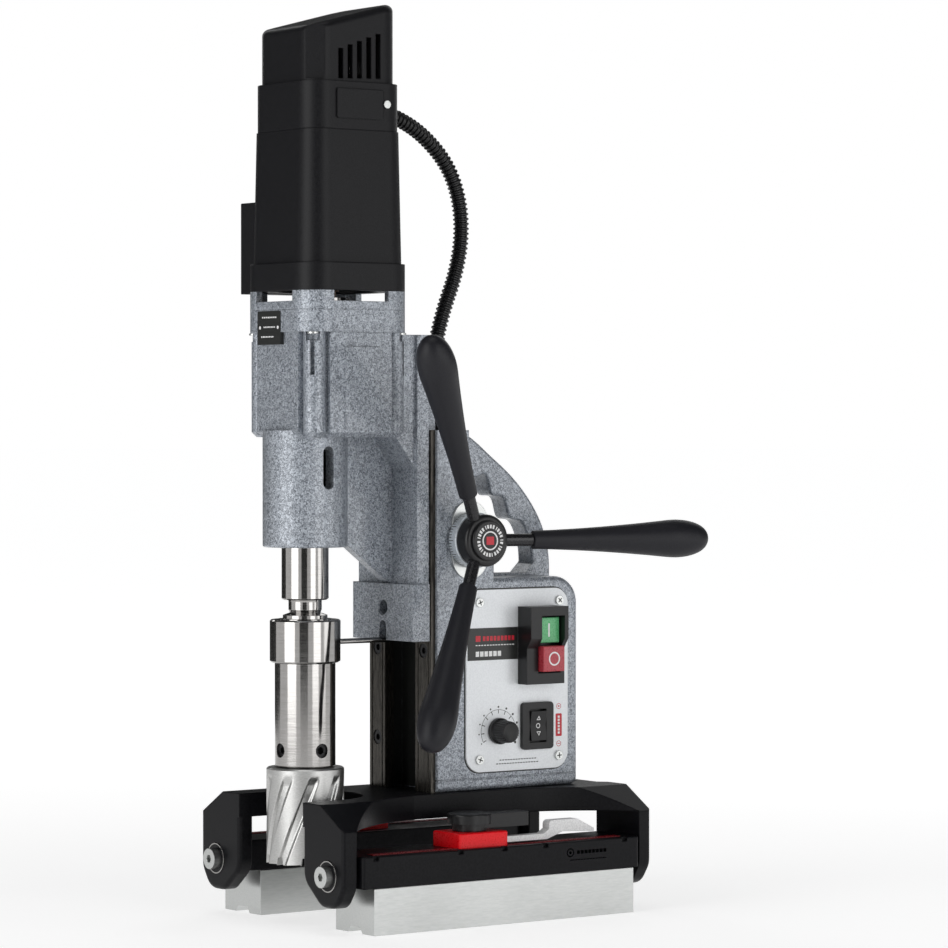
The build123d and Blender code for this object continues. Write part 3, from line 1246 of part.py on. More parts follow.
# ---- Cable conduit from the motor to the column ---------------------------------------
# A smooth route of straight runs and arcs: out of the motor's back, over and down to the frame
conduit_route = [
    (0, MOTOR_Y + CAP_HALF + 1.8, 576), (0, 82, 570), (0, 104, 558), (0, 124, 538.5), (0, 134.5, 514),
    (0, 136.5, 487), (0, 131, 460), (0, 120, 434), (0, 112.5, 408), (0, 113, 383),
    (0, CONDUIT_END_Y, 360), (0, CONDUIT_END_Y, 343),
]


def conduit_radii(points):
    """Radius at each inner corner: 0.45 of the shorter run over the tangent of half the turn."""
    radii = []
    for before, corner, after in zip(points, points[1:], points[2:]):
        into, out = Vector(*corner) - Vector(*before), Vector(*after) - Vector(*corner)
        turn = math.radians(into.get_angle(out))
        radii.append(0.45 * min(into.length, out.length) / math.tan(turn / 2))
    return radii


with BuildPart() as cable_conduit:
    with BuildLine() as conduit_line:
        FilletPolyline(*conduit_route, radius=conduit_radii(conduit_route))
    with BuildSketch(conduit_line.line ^ 0):
        Circle(CONDUIT_D / 2)
    sweep()
print("conduit radii", [round(radius) for radius in conduit_radii(conduit_route)])
conduit_length = sum(edge.length for edge in conduit_line.edges())
conduit_section = math.pi * CONDUIT_D**2 / 4
print("conduit length", round(conduit_length, 1))
print("conduit volume over section", round(cable_conduit.part.volume / conduit_section, 1))
cable_conduit.part.label = "cable_conduit"
export_step(cable_conduit.part, "parts/cable_conduit.step")
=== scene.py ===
import json
import math

import bpy
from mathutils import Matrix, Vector


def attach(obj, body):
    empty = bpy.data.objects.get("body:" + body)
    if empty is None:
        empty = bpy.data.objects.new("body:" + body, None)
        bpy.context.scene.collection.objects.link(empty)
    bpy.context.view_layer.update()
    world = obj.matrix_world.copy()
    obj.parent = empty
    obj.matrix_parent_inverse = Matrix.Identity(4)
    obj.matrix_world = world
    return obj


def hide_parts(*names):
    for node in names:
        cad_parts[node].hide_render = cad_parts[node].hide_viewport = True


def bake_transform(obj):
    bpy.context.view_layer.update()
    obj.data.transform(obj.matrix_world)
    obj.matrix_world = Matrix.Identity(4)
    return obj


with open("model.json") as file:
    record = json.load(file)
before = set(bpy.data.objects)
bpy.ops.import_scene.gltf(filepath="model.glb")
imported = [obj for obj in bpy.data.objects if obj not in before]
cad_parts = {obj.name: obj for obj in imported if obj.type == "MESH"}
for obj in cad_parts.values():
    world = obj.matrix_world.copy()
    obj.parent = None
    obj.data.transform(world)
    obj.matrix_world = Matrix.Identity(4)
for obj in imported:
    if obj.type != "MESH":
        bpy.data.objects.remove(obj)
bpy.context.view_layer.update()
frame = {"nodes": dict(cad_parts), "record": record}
MM = 0.001


# ---- Camera ----------------------------------------------------------------------------------
camera_data = bpy.data.cameras.new("camera")
camera_data.sensor_width = 36.0
camera_data.lens = 148.23
camera_data.clip_end = 60.0
camera = bpy.data.objects.new("camera", camera_data)
bpy.context.scene.collection.objects.link(camera)
camera.location = Vector((2293.5, -1526.3, 350.6)) * MM
CAMERA_DIP = math.radians(0.719)
look = Vector((-0.8078 * math.cos(CAMERA_DIP), 0.5895 * math.cos(CAMERA_DIP), -math.sin(CAMERA_DIP)))
camera.rotation_mode = "QUATERNION"
camera.rotation_quaternion = look.to_track_quat("-Z", "Y")
bpy.context.scene.camera = camera


# ---- Mesh helpers, all in millimetres --------------------------------------------------------
def mesh_piece(name, verts, faces, body, material, smooth=True, stands_for=()):
    """A mesh object that rides on a body, or the mesh alone where body is None."""
    mesh = bpy.data.meshes.new(name)
    mesh.from_pydata([tuple(c * MM for c in v) for v in verts], [], faces)
    mesh.validate()
    mesh.polygons.foreach_set("use_smooth", [smooth] * len(mesh.polygons))
    piece = bpy.data.objects.new(name, mesh)
    bpy.context.scene.collection.objects.link(piece)
    mesh.materials.append(material)
    if smooth:
        sharpen(piece)
    if body:
        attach(piece, body)
    if stands_for:
        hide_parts(*stands_for)
    return piece


def sharpen(piece, angle=35):
    """Edges steeper than the angle stay crisp."""
    mesh = piece.data
    limit = math.cos(math.radians(angle))
    sides = {}
    for face in mesh.polygons:
        for key in face.edge_keys:
            sides.setdefault(key, []).append(face.normal.copy())
    for edge in mesh.edges:
        normals = sides.get(edge.key, [])
        if len(normals) == 2 and normals[0].dot(normals[1]) < limit:
            edge.use_edge_sharp = True


def grid_faces(rows, columns, wrap):
    """Quads over a grid of points, joined round each row where wrap is true."""
    faces = []
    span = columns if wrap else columns - 1
    for r in range(rows - 1):
        for c in range(span):
            n = (c + 1) % columns
            low, high = r * columns, (r + 1) * columns
            faces.append((low + c, low + n, high + n, high + c))
    return faces


def circle(radius, z, sides):
    """Points round the Z axis at one height."""
    turns = [2 * math.pi * s / sides for s in range(sides)]
    return [(radius * math.cos(turn), radius * math.sin(turn), z) for turn in turns]


# ---- Material helpers ------------------------------------------------------------------------
def set_inputs(node, **values):
    for key, value in values.items():
        node.inputs[key.replace("_", " ")].default_value = value


def grained(
    name, dark, light, rough, metallic=0.0, scale=900.0, detail=3.0, stretch=(1, 1, 1),
    window=(0.4, 0.6), bump=0.15, depth=0.0002, edge=0.0005, drift=0.08, coat=0.0,
    coat_rough=0.2, specular=0.5, distort=0.0, around=None, anisotropy=0.0,
):
    """A surface with a fine grain in colour, roughness and relief, and softened edges."""
    material = bpy.data.materials.new(name)
    material.use_nodes = True
    nodes, links = material.node_tree.nodes, material.node_tree.links
    shader = nodes["Principled BSDF"]
    shader.inputs["Metallic"].default_value = metallic
    shader.inputs["Coat Weight"].default_value = coat
    shader.inputs["Coat Roughness"].default_value = coat_rough
    shader.inputs["Specular IOR Level"].default_value = specular

    coords = nodes.new("ShaderNodeTexCoord")
    mapping = nodes.new("ShaderNodeMapping")
    mapping.inputs["Scale"].default_value = stretch
    links.new(coords.outputs["Object"], mapping.inputs["Vector"])
    grain = nodes.new("ShaderNodeTexNoise")
    set_inputs(grain, Scale=scale, Detail=detail, Roughness=0.55, Distortion=distort)
    links.new(mapping.outputs["Vector"], grain.inputs["Vector"])
    ramp = nodes.new("ShaderNodeValToRGB")
    ramp.color_ramp.elements[0].position = window[0]
    ramp.color_ramp.elements[1].position = window[1]
    ramp.color_ramp.elements[0].color = (*dark, 1)
    ramp.color_ramp.elements[1].color = (*light, 1)
    links.new(grain.outputs["Fac"], ramp.inputs["Fac"])

    slow = nodes.new("ShaderNodeTexNoise")
    set_inputs(slow, Scale=9.0, Detail=2.0)
    links.new(coords.outputs["Object"], slow.inputs["Vector"])
    shade = nodes.new("ShaderNodeMapRange")
    set_inputs(shade, From_Min=0.3, From_Max=0.7, To_Min=1 - drift, To_Max=1 + drift)
    links.new(slow.outputs["Fac"], shade.inputs["Value"])
    tint = nodes.new("ShaderNodeVectorMath")
    tint.operation = "SCALE"
    links.new(ramp.outputs["Color"], tint.inputs[0])
    links.new(shade.outputs["Result"], tint.inputs["Scale"])
    links.new(tint.outputs["Vector"], shader.inputs["Base Color"])

    gloss = nodes.new("ShaderNodeMapRange")
    set_inputs(gloss, From_Min=0.35, From_Max=0.65, To_Min=rough[0], To_Max=rough[1])
    links.new(grain.outputs["Fac"], gloss.inputs["Value"])
    links.new(gloss.outputs["Result"], shader.inputs["Roughness"])

    relief = nodes.new("ShaderNodeBump")
    set_inputs(relief, Strength=bump, Distance=depth)
    links.new(grain.outputs["Fac"], relief.inputs["Height"])
    if edge:
        soft_edge = nodes.new("ShaderNodeBevel")
        soft_edge.samples = 4
        soft_edge.inputs["Radius"].default_value = edge
        links.new(soft_edge.outputs["Normal"], relief.inputs["Normal"])
    links.new(relief.outputs["Normal"], shader.inputs["Normal"])
    if around:
        shader.inputs["Anisotropic"].default_value = anisotropy
        shader.inputs["Anisotropic Rotation"].default_value = 0.25
        tangent = nodes.new("ShaderNodeTangent")
        tangent.direction_type = "RADIAL"
        tangent.axis = around
        links.new(tangent.outputs["Tangent"], shader.inputs["Tangent"])
    return material


FINISHES = {
    "black_coat": grained(
        "black_powder_coat", (0.002, 0.002, 0.003), (0.005, 0.005, 0.0065), (0.30, 0.42),
        scale=700, bump=0.25, depth=0.00012, edge=0.0014, specular=0.15,
    ),
    "hammertone": grained(
        "hammertone_enamel", (0.13, 0.145, 0.168), (0.44, 0.475, 0.525), (0.28, 0.40), metallic=0.4,
        scale=560, detail=1.2, window=(0.37, 0.63), bump=0.9, depth=0.0006, edge=0.0012, drift=0.05,
        coat=0.45, coat_rough=0.12, distort=1.6,
    ),
    "ground_steel": grained(
        "turned_steel", (0.27, 0.262, 0.254), (0.41, 0.40, 0.39), (0.07, 0.14), metallic=1.0,
        scale=260, detail=4, stretch=(0.3, 0.3, 14), window=(0.3, 0.7), bump=0.10, depth=0.00005,
        edge=0.0004, around="Z", anisotropy=0.5,
    ),
    "zinc_steel": grained(
        "satin_zinc", (0.56, 0.575, 0.565), (0.64, 0.65, 0.64), (0.28, 0.36), metallic=1.0,
        scale=900, detail=3, stretch=(1, 0.15, 1), window=(0.3, 0.7), bump=0.03, depth=0.00004,
    ),
    "black_screws": grained(
        "black_oxide", (0.012, 0.012, 0.013), (0.035, 0.035, 0.037), (0.28, 0.4), metallic=0.6,
        scale=1200, edge=0.0003,
    ),
    "cutter_steel": grained(
        "ground_tool_steel", (0.45, 0.45, 0.44), (0.62, 0.62, 0.61), (0.28, 0.42), metallic=1.0,
        scale=500, detail=4, stretch=(1, 1, 5), window=(0.3, 0.7), bump=0.15, depth=0.00008, edge=0.0003,
    ),
    "bronze": grained(
        "bearing_bronze", (0.42, 0.25, 0.09), (0.60, 0.40, 0.18), (0.28, 0.42), metallic=1.0, scale=700,
    ),
    "magnet": grained(
        "nickel_plate", (0.50, 0.49, 0.46), (0.62, 0.61, 0.58), (0.2, 0.3), metallic=1.0, scale=700,
    ),
    "laminations": grained(
        "varnished_core", (0.09, 0.045, 0.02), (0.22, 0.12, 0.07), (0.35, 0.5), metallic=0.4, scale=300,
        stretch=(1, 1, 8),
    ),
    "motor_plastic": grained(
        "grained_black_moulding", (0.0035, 0.0035, 0.0045), (0.0085, 0.0085, 0.010), (0.36, 0.50),
        scale=1300, bump=0.35, depth=0.00012, edge=0.0011, specular=0.2,
    ),
    "black_plastic": grained(
        "satin_black_moulding", (0.004, 0.004, 0.0045), (0.008, 0.008, 0.009), (0.28, 0.40),
        scale=1500, bump=0.2, depth=0.00008, edge=0.0006, specular=0.4,
    ),
    "grip_rubber": grained(
        "soft_touch_black", (0.006, 0.006, 0.0085), (0.011, 0.011, 0.015), (0.42, 0.54),
        scale=1600, bump=0.2, depth=0.0001, edge=0.0008, specular=0.3,
    ),
    "panel": grained(
        "printed_aluminium", (0.72, 0.74, 0.76), (0.78, 0.80, 0.82), (0.38, 0.48), metallic=0.25,
        scale=900, bump=0.04, depth=0.00004, edge=0.0003, drift=0.03,
    ),
    "red_plastic": grained(
        "red_moulding", (0.74, 0.0015, 0.006), (0.84, 0.003, 0.010), (0.26, 0.38), scale=900, bump=0.06,
        depth=0.00006, edge=0.0006, specular=0.3,
    ),
    "green_plastic": grained(
        "green_moulding", (0.10, 0.42, 0.17), (0.12, 0.48, 0.20), (0.24, 0.36), scale=900, bump=0.1,
        depth=0.00006, edge=0.0005,
    ),
    "circuit_board": grained(
        "board_lacquer", (0.01, 0.10, 0.04), (0.03, 0.20, 0.08), (0.3, 0.45), scale=350,
    ),
}
RAIL_STEEL = grained(
    "dark_rail_steel", (0.035, 0.032, 0.028), (0.085, 0.078, 0.068), (0.24, 0.36), metallic=0.85,
    scale=500, stretch=(4, 4, 0.2), bump=0.08, depth=0.00006, edge=0.0005,
)
BLACK_ROD = grained(
    "blackened_rod", (0.010, 0.010, 0.011), (0.022, 0.022, 0.024), (0.16, 0.26), metallic=0.3, scale=900,
)
DIAL_SATIN = grained(
    "satin_dial", (0.50, 0.54, 0.58), (0.62, 0.66, 0.70), (0.3, 0.42), metallic=0.6, scale=900, edge=0.0003,
)
STOP_RED = grained(
    "pale_red_moulding", (0.36, 0.030, 0.045), (0.43, 0.040, 0.055), (0.26, 0.38), scale=900, bump=0.06,
    depth=0.00006, edge=0.0005,
)


def ink(name, dark, light, rough):
    return grained(name, dark, light, rough, scale=800, bump=0.05, edge=0)


INK_WHITE = ink("white_ink", (0.70, 0.70, 0.70), (0.82, 0.82, 0.82), (0.4, 0.5))
# Black for print, and also for painted shade in the panel gap, the rail channel and the screw recesses
BLACK_INK_AND_SHADE = ink("black_ink_and_shade", (0.010, 0.011, 0.010), (0.016, 0.017, 0.016), (0.3, 0.4))
INK_RED = ink("red_ink", (0.46, 0.008, 0.02), (0.55, 0.012, 0.03), (0.34, 0.44))
RED_LACQUER = grained(
    "dark_red_lacquer", (0.16, 0.004, 0.008), (0.24, 0.006, 0.012), (0.22, 0.34), scale=700, bump=0.1,
    depth=0.00008,
)

SPECIAL = {
    "slide_rails": RAIL_STEEL,
    "feed_rods": BLACK_ROD,
    "dial_ring": DIAL_SATIN,
    "stop_button": STOP_RED,
    "release_lever_left": INK_WHITE,
    "release_lever_right": INK_WHITE,
}
for part in frame["record"]["subparts"]:
    surface = frame["nodes"][part["node"]]
    material = SPECIAL.get(part["node"], FINISHES[part["material_slot"]])
    if not surface.data.materials:
        surface.data.materials.append(material)
    for place in surface.material_slots:
        place.link = "OBJECT"
        place.material = material


# ---- Cable conduit: a corrugated sleeve along its route --------------------------------------
CONDUIT_ROUTE = [
    (0, 61.2, 576), (0, 82, 570), (0, 104, 558), (0, 124, 538.5), (0, 134.5, 514), (0, 136.5, 487),
    (0, 131, 460), (0, 120, 434), (0, 112.5, 408), (0, 113, 383), (0, 118, 360), (0, 118, 343),
]
CONDUIT_R = 5.75
RIB_DEPTH = 1.15
RIB_PITCH = 3.4
route = bpy.data.curves.new("conduit_route", "CURVE")
route.dimensions = "3D"
route.resolution_u = 40
spline = route.splines.new("NURBS")
spline.points.add(len(CONDUIT_ROUTE) - 1)
for point, place in zip(spline.points, CONDUIT_ROUTE):
    point.co = (*(c * MM for c in place), 1.0)
spline.order_u = 3
spline.use_endpoint_u = True
route_object = bpy.data.objects.new("conduit_route", route)
bpy.context.scene.collection.objects.link(route_object)
route_mesh = bpy.data.meshes.new_from_object(route_object)
line = [v.co.copy() for v in route_mesh.vertices]
bpy.data.objects.remove(route_object)
bpy.data.meshes.remove(route_mesh)

reach = [0.0]
for a, b in zip(line, line[1:]):
    reach.append(reach[-1] + (b - a).length)
conduit_length = reach[-1]


def along(distance):
    """Point and direction at a distance along the conduit's line."""
    i = 0
    while i < len(reach) - 2 and reach[i + 1] < distance:
        i += 1
    share = (distance - reach[i]) / (reach[i + 1] - reach[i])
    return line[i].lerp(line[i + 1], share), (line[i + 1] - line[i]).normalized()


SLEEVE_SIDES = 28
RIB_SHAPE = ((0.0, 0.0), (0.12, 0.55), (0.25, 1.0), (0.45, 1.0), (0.58, 0.55), (0.7, 0.0))
rib_count = int(conduit_length / (RIB_PITCH * MM))
verts = []
for rib in range(rib_count):
    for phase, height in RIB_SHAPE:
        spot, heading = along((rib + phase) * conduit_length / rib_count)
        flat = Vector((1, 0, 0))
        other = heading.cross(flat).normalized()
        radius = (CONDUIT_R - RIB_DEPTH * (1 - height)) * MM
        for side in range(SLEEVE_SIDES):
            turn = 2 * math.pi * side / SLEEVE_SIDES
            rim = spot + (flat * math.cos(turn) + other * math.sin(turn)) * radius
            verts.append(tuple(c / MM for c in rim))
rows = rib_count * len(RIB_SHAPE)
faces = grid_faces(rows, SLEEVE_SIDES, True)
faces.append(tuple(range(SLEEVE_SIDES - 1, -1, -1)))
faces.append(tuple(range((rows - 1) * SLEEVE_SIDES, rows * SLEEVE_SIDES)))
conduit = mesh_piece(
    "conduit_sleeve", verts, faces, None, FINISHES["black_plastic"],
    stands_for=["cable_conduit"],
)
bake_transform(conduit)


# ---- Annular cutter with helical flutes ------------------------------------------------------
def smooth_step(value):
    value = min(max(value, 0.0), 1.0)
    return value * value * (3 - 2 * value)


CUTTER_R, CUTTER_LOW, CUTTER_HIGH = 27.45, 42.05, 109.5
BORE_R = 21.8
FLUTES, FLUTE_TURN = 9, math.radians(58)
FLUTE_DEPTH = 2.0
RUNOUT_LOW, RUNOUT_HIGH = 98.0, 105.0
GULLET = 5.5
STEPS = 360
verts, sections = [], []


def flute_cut(angle, height):
    """Depth of the flute below the land, from 0 to 1, steep on one side and easy on the other."""
    turned = angle - FLUTE_TURN * (height - CUTTER_LOW) / (CUTTER_HIGH - CUTTER_LOW)
    phase = (turned * FLUTES / (2 * math.pi)) % 1.0
    shape = smooth_step(phase / 0.035) * (1 - smooth_step((phase - 0.30) / 0.12))
    return shape * (1 - smooth_step((height - RUNOUT_LOW) / (RUNOUT_HIGH - RUNOUT_LOW)))


def tooth_height(angle):
    """How far the edge stands back from the lowest plane: a gullet, then a sloping tooth."""
    phase = (angle * FLUTES / (2 * math.pi)) % 1.0
    notch = smooth_step(phase / 0.04) * (1 - smooth_step((phase - 0.17) / 0.04))
    return GULLET * notch + 1.1 * max(0.0, phase - 0.2)


WALL_STEPS = 56
RIM = 1.0
heights = [CUTTER_LOW + (CUTTER_HIGH - RIM - CUTTER_LOW) * (k / WALL_STEPS) for k in range(WALL_STEPS + 1)]
for level in heights:
    ring = []
    for s in range(STEPS):
        angle = 2 * math.pi * s / STEPS
        z = max(level, CUTTER_LOW + tooth_height(angle))
        radius = CUTTER_R - FLUTE_DEPTH * flute_cut(angle, z)
        ring.append((radius * math.cos(angle), radius * math.sin(angle), z))
    sections.append(ring)
SHANK_R, SHANK_TOP = 9.4, 140.0
PILOT_R, BORE_TOP = 2.0, 98.0
for radius, z in (
    (CUTTER_R - RIM, CUTTER_HIGH), (SHANK_R, CUTTER_HIGH), (SHANK_R, SHANK_TOP), (PILOT_R, SHANK_TOP),
    (PILOT_R, BORE_TOP), (BORE_R, BORE_TOP),
):
    sections.append(circle(radius, z, STEPS))
for height in (CUTTER_LOW + GULLET + 2, CUTTER_LOW):
    ring = []
    for s, (x, y, z) in enumerate(circle(BORE_R, height, STEPS)):
        edge_height = CUTTER_LOW + tooth_height(2 * math.pi * s / STEPS)
        ring.append((x, y, max(z, edge_height)))
    sections.append(ring)
sections.append(sections[0])
for ring in sections:
    verts.extend(ring)
mesh_piece(
    "fluted_cutter", verts, grid_faces(len(sections), STEPS, True), "spindle", FINISHES["cutter_steel"],
    stands_for=["annular_cutter"],
)


# ---- Speed knob: fluted grip on a skirt ------------------------------------------------------
KNOB_Y, KNOB_Z = 138.0, 131.0
KNOB_BACK, KNOB_FRONT = 43.2, 58.1
KNOB_SECTIONS = (
    (KNOB_BACK, 9.4, 0.0), (KNOB_BACK + 2.6, 9.4, 0.0), (KNOB_BACK + 3.4, 8.7, 0.0),
    (KNOB_BACK + 3.8, 8.3, 0.5), (KNOB_FRONT - 1.2, 7.7, 0.5), (KNOB_FRONT - 0.3, 7.2, 0.35),
    (KNOB_FRONT, 6.4, 0.0), (KNOB_FRONT - 0.4, 5.4, 0.0), (KNOB_FRONT - 0.5, 0.02, 0.0),
)
KNOB_STEPS = 144
KNOB_FLUTES = 24
verts = []
for x, radius, depth in KNOB_SECTIONS:
    for s in range(KNOB_STEPS):
        angle = 2 * math.pi * s / KNOB_STEPS
        r = radius - depth * (0.5 + 0.5 * math.cos(KNOB_FLUTES * angle))
        verts.append((x, KNOB_Y + r * math.cos(angle), KNOB_Z + r * math.sin(angle)))
faces = grid_faces(len(KNOB_SECTIONS), KNOB_STEPS, True)
faces.append(tuple(range(KNOB_STEPS)))
mesh_piece(
    "speed_knob_grip", verts, faces, "speed_knob", FINISHES["black_plastic"],
    stands_for=["speed_knob"],
)


# ---- Printed and engraved marks: thin shaped films laid on a surface -------------------------
class Film:
    """Flat shapes in one plane, kept a hair above the surface. place(u, v, lift) gives a point."""

    def __init__(self, place, lift=0.06, thick=0.05):
        self.place, self.lift, self.thick = place, lift, thick
        self.verts, self.faces = [], []

    def outline(self, points):
        start, count = len(self.verts), len(points)
        for height in (self.lift, self.lift - self.thick):
            self.verts.extend(self.place(u, v, height) for u, v in points)
        self.faces.append(tuple(range(start, start + count)))
        self.faces.append(tuple(range(start + 2 * count - 1, start + count - 1, -1)))
        for i in range(count):
            n = (i + 1) % count
            self.faces.append((start + i, start + count + i, start + count + n, start + n))

    def bar(self, u0, v0, u1, v1):
        self.outline([(u0, v0), (u1, v0), (u1, v1), (u0, v1)])

    def rounded(self, u0, v0, u1, v1, radius):
        corners = ((u1 - radius, v1 - radius, 0), (u0 + radius, v1 - radius, 90),
                   (u0 + radius, v0 + radius, 180), (u1 - radius, v0 + radius, 270))
        points = []
        for cu, cv, first in corners:
            for k in range(6):
                turn = math.radians(first + 18 * k)
                points.append((cu + radius * math.cos(turn), cv + radius * math.sin(turn)))
        self.outline(points)

    def disc(self, u, v, radius, sides=32):
        self.outline([
            (u + radius * math.cos(2 * math.pi * k / sides), v + radius * math.sin(2 * math.pi * k / sides))
            for k in range(sides)
        ])

    def arc(self, u, v, inner, outer, first=0, last=360, sides=48):
        for k in range(sides):
            a = math.radians(first + (last - first) * k / sides)
            b = math.radians(first + (last - first) * (k + 1) / sides)
            self.outline([
                (u + inner * math.cos(a), v + inner * math.sin(a)),
                (u + outer * math.cos(a), v + outer * math.sin(a)),
                (u + outer * math.cos(b), v + outer * math.sin(b)),
                (u + inner * math.cos(b), v + inner * math.sin(b)),
            ])

    def make(self, name, body, material, slot):
        return mesh_piece(name, self.verts, self.faces, body, material, smooth=False)


    def row(self, count, first, pitch, length, low, high):
        """Equal bars in a line, in place of a line of text."""
        for k in range(count):
            self.bar(first + pitch * k, low, first + length + pitch * k, high)


PANEL_FACE = 42.6
GAP_LIFT = -1.45           # the painted shade of the gap lies behind the panel's face
PLATE_LIFT, PLATE_INK_LIFT = 0.30, 0.36
PLATE_TEXT = 117.6         # where the lines on the nameplate start


def on_x(x):
    """Places marks on a plane across X: u is Y, v is Z."""
    return lambda y, z, lift: (x + lift, y, z)


def panel_film(lift=0.06, thick=0.05):
    return Film(on_x(PANEL_FACE), lift, thick)


# Painted shade: a black film fills the gap round the panel, where shade falls
painted_gap_shade = panel_film(GAP_LIFT, 0.1)
painted_gap_shade.rounded(108.7, 101.0, 201.8, 233.7, 13)
painted_gap_shade.make("panel_gap_painted_shade", "stand", BLACK_INK_AND_SHADE, "black_plastic")

plate = panel_film(PLATE_LIFT, 0.29)
plate.bar(110.6, 182.2, 155.2, 205.3)
plate.make("nameplate", "stand", BLACK_INK_AND_SHADE, "black_plastic")
plate_red = panel_film(PLATE_INK_LIFT)
plate_red.bar(PLATE_TEXT, 195.6, 121.8, 199.8)
plate_red.row(9, 124.0, 3.2, 2.2, 196.0, 199.4)
plate_red.make("nameplate_red", "stand", INK_RED, "red_plastic")
plate_white = panel_film(PLATE_INK_LIFT)
plate_white.row(14, PLATE_TEXT, 2.5, 1.6, 192.6, 193.3)
plate_white.row(6, PLATE_TEXT, 3.9, 3.0, 184.9, 188.6)
plate_white.make("nameplate_white", "stand", INK_WHITE, "panel")

SCALE_R, DOTS_R = 15.2, 17.3
scale_print = panel_film()
scale_print.arc(KNOB_Y, KNOB_Z, SCALE_R, SCALE_R + 0.3, -30, 210, 64)
for k in range(11):
    turn = math.radians(210 - 24 * k)
    cos, sin = math.cos(turn), math.sin(turn)
    near, far, half = 12.6, SCALE_R, 0.28
    scale_print.outline([
        (KNOB_Y + near * cos - half * sin, KNOB_Z + near * sin + half * cos),
        (KNOB_Y + near * cos + half * sin, KNOB_Z + near * sin - half * cos),
        (KNOB_Y + far * cos + half * sin, KNOB_Z + far * sin - half * cos),
        (KNOB_Y + far * cos - half * sin, KNOB_Z + far * sin + half * cos),
    ])
    scale_print.disc(KNOB_Y + DOTS_R * cos, KNOB_Z + DOTS_R * sin, 0.5 + 0.05 * k, 16)
scale_print.make("speed_scale", "stand", BLACK_INK_AND_SHADE, "black_plastic")

LABEL_Y, LABEL_HIGH, LABEL_LOW = 192.4, 146.6, 119.5
side_label = panel_film()
side_label.rounded(LABEL_Y - 2.8, 124.8, LABEL_Y + 2.8, 141.3, 0.8)
for z in (LABEL_HIGH, LABEL_LOW):
    side_label.arc(LABEL_Y, z, 1.7, 2.1, 0, 360, 28)
side_label.disc(LABEL_Y, LABEL_HIGH, 0.7, 16)
side_label.bar(LABEL_Y - 1, LABEL_LOW - 0.3, LABEL_Y + 1, LABEL_LOW + 0.3)
side_label.make("rocker_label", "stand", INK_RED, "red_plastic")
side_lines = panel_film(0.10)
for k in range(6):
    side_lines.bar(LABEL_Y - 0.9, 126.6 + 2.3 * k, LABEL_Y + 0.9, 128.2 + 2.3 * k)
side_lines.make("rocker_label_lines", "stand", INK_WHITE, "panel")

# Signs on the two buttons
BUTTON_Y, START_Z, STOP_Z = 175.6, 202.8, 182.4
START_FACE, STOP_FACE = 53.1, 59.6
start_sign = Film(on_x(START_FACE), 0.05, 0.04)
start_sign.bar(BUTTON_Y - 0.7, START_Z - 4.8, BUTTON_Y + 0.7, START_Z + 4.8)
start_sign.make("start_sign", "start_button", INK_WHITE, "panel")
stop_sign = Film(on_x(STOP_FACE), 0.05, 0.04)
stop_sign.arc(BUTTON_Y, STOP_Z, 3.9, 5.0, 0, 360, 56)
stop_sign.make("stop_sign", "stop_button", INK_WHITE, "panel")


# A ring and two triangles on the slopes of the rocker
ROCKER_Y, ROCKER_Z = 171.5, 133.5
ROCKER_DIP, ROCKER_SLOPE = 45.4, 0.17


def on_rocker(y, z, lift):
    return (ROCKER_DIP + ROCKER_SLOPE * abs(z - ROCKER_Z) + lift, y, z)


rocker_sign = Film(on_rocker, 0.06, 0.05)
rocker_sign.arc(ROCKER_Y, ROCKER_Z, 1.3, 1.8, 0, 360, 28)
base_in, base_out, tip_in, tip_out = 4.6, 4.1, 6.2, 7.3
for up in (1, -1):
    for side in (1, -1):
        rocker_sign.outline([
            (ROCKER_Y, ROCKER_Z + up * tip_out), (ROCKER_Y + side * 1.9, ROCKER_Z + up * base_out),
            (ROCKER_Y + side * 1.1, ROCKER_Z + up * base_in), (ROCKER_Y, ROCKER_Z + up * tip_in),
        ])
    rocker_sign.bar(ROCKER_Y - 1.5, ROCKER_Z + up * base_out, ROCKER_Y + 1.5, ROCKER_Z + up * base_in)
rocker_sign.make("rocker_sign", "direction_rocker", INK_WHITE, "panel")

# Painted shade of the cross recesses in the panel screws, drawn as flat black crosses, and two lines of
# small print
SCREW_FACE = 44.2
SCREWS = ((121, 223.6), (192.6, 223.6), (121, 111), (192, 111))
recess_shade_crosses = Film(on_x(SCREW_FACE), 0.05, 0.04)
for number, (y, z) in enumerate(SCREWS):
    for turn in (20 + 25 * number, 110 + 25 * number):
        cos, sin = math.cos(math.radians(turn)), math.sin(math.radians(turn))
        recess_shade_crosses.outline([
            (y + a * cos - b * sin, z + a * sin + b * cos)
            for a, b in ((-2.1, -0.4), (2.1, -0.4), (2.1, 0.4), (-2.1, 0.4))
        ])
recess_shade_crosses.make("panel_screw_recess_shade", "stand", BLACK_INK_AND_SHADE, "black_plastic")
small_print = panel_film()
for line_low, first, count in ((109.6, 139.0, 14), (107.0, 136.0, 16)):
    small_print.row(count, first, 2.4, 1.7, line_low, line_low + 0.7)
small_print.make("panel_small_print", "stand", BLACK_INK_AND_SHADE, "black_plastic")


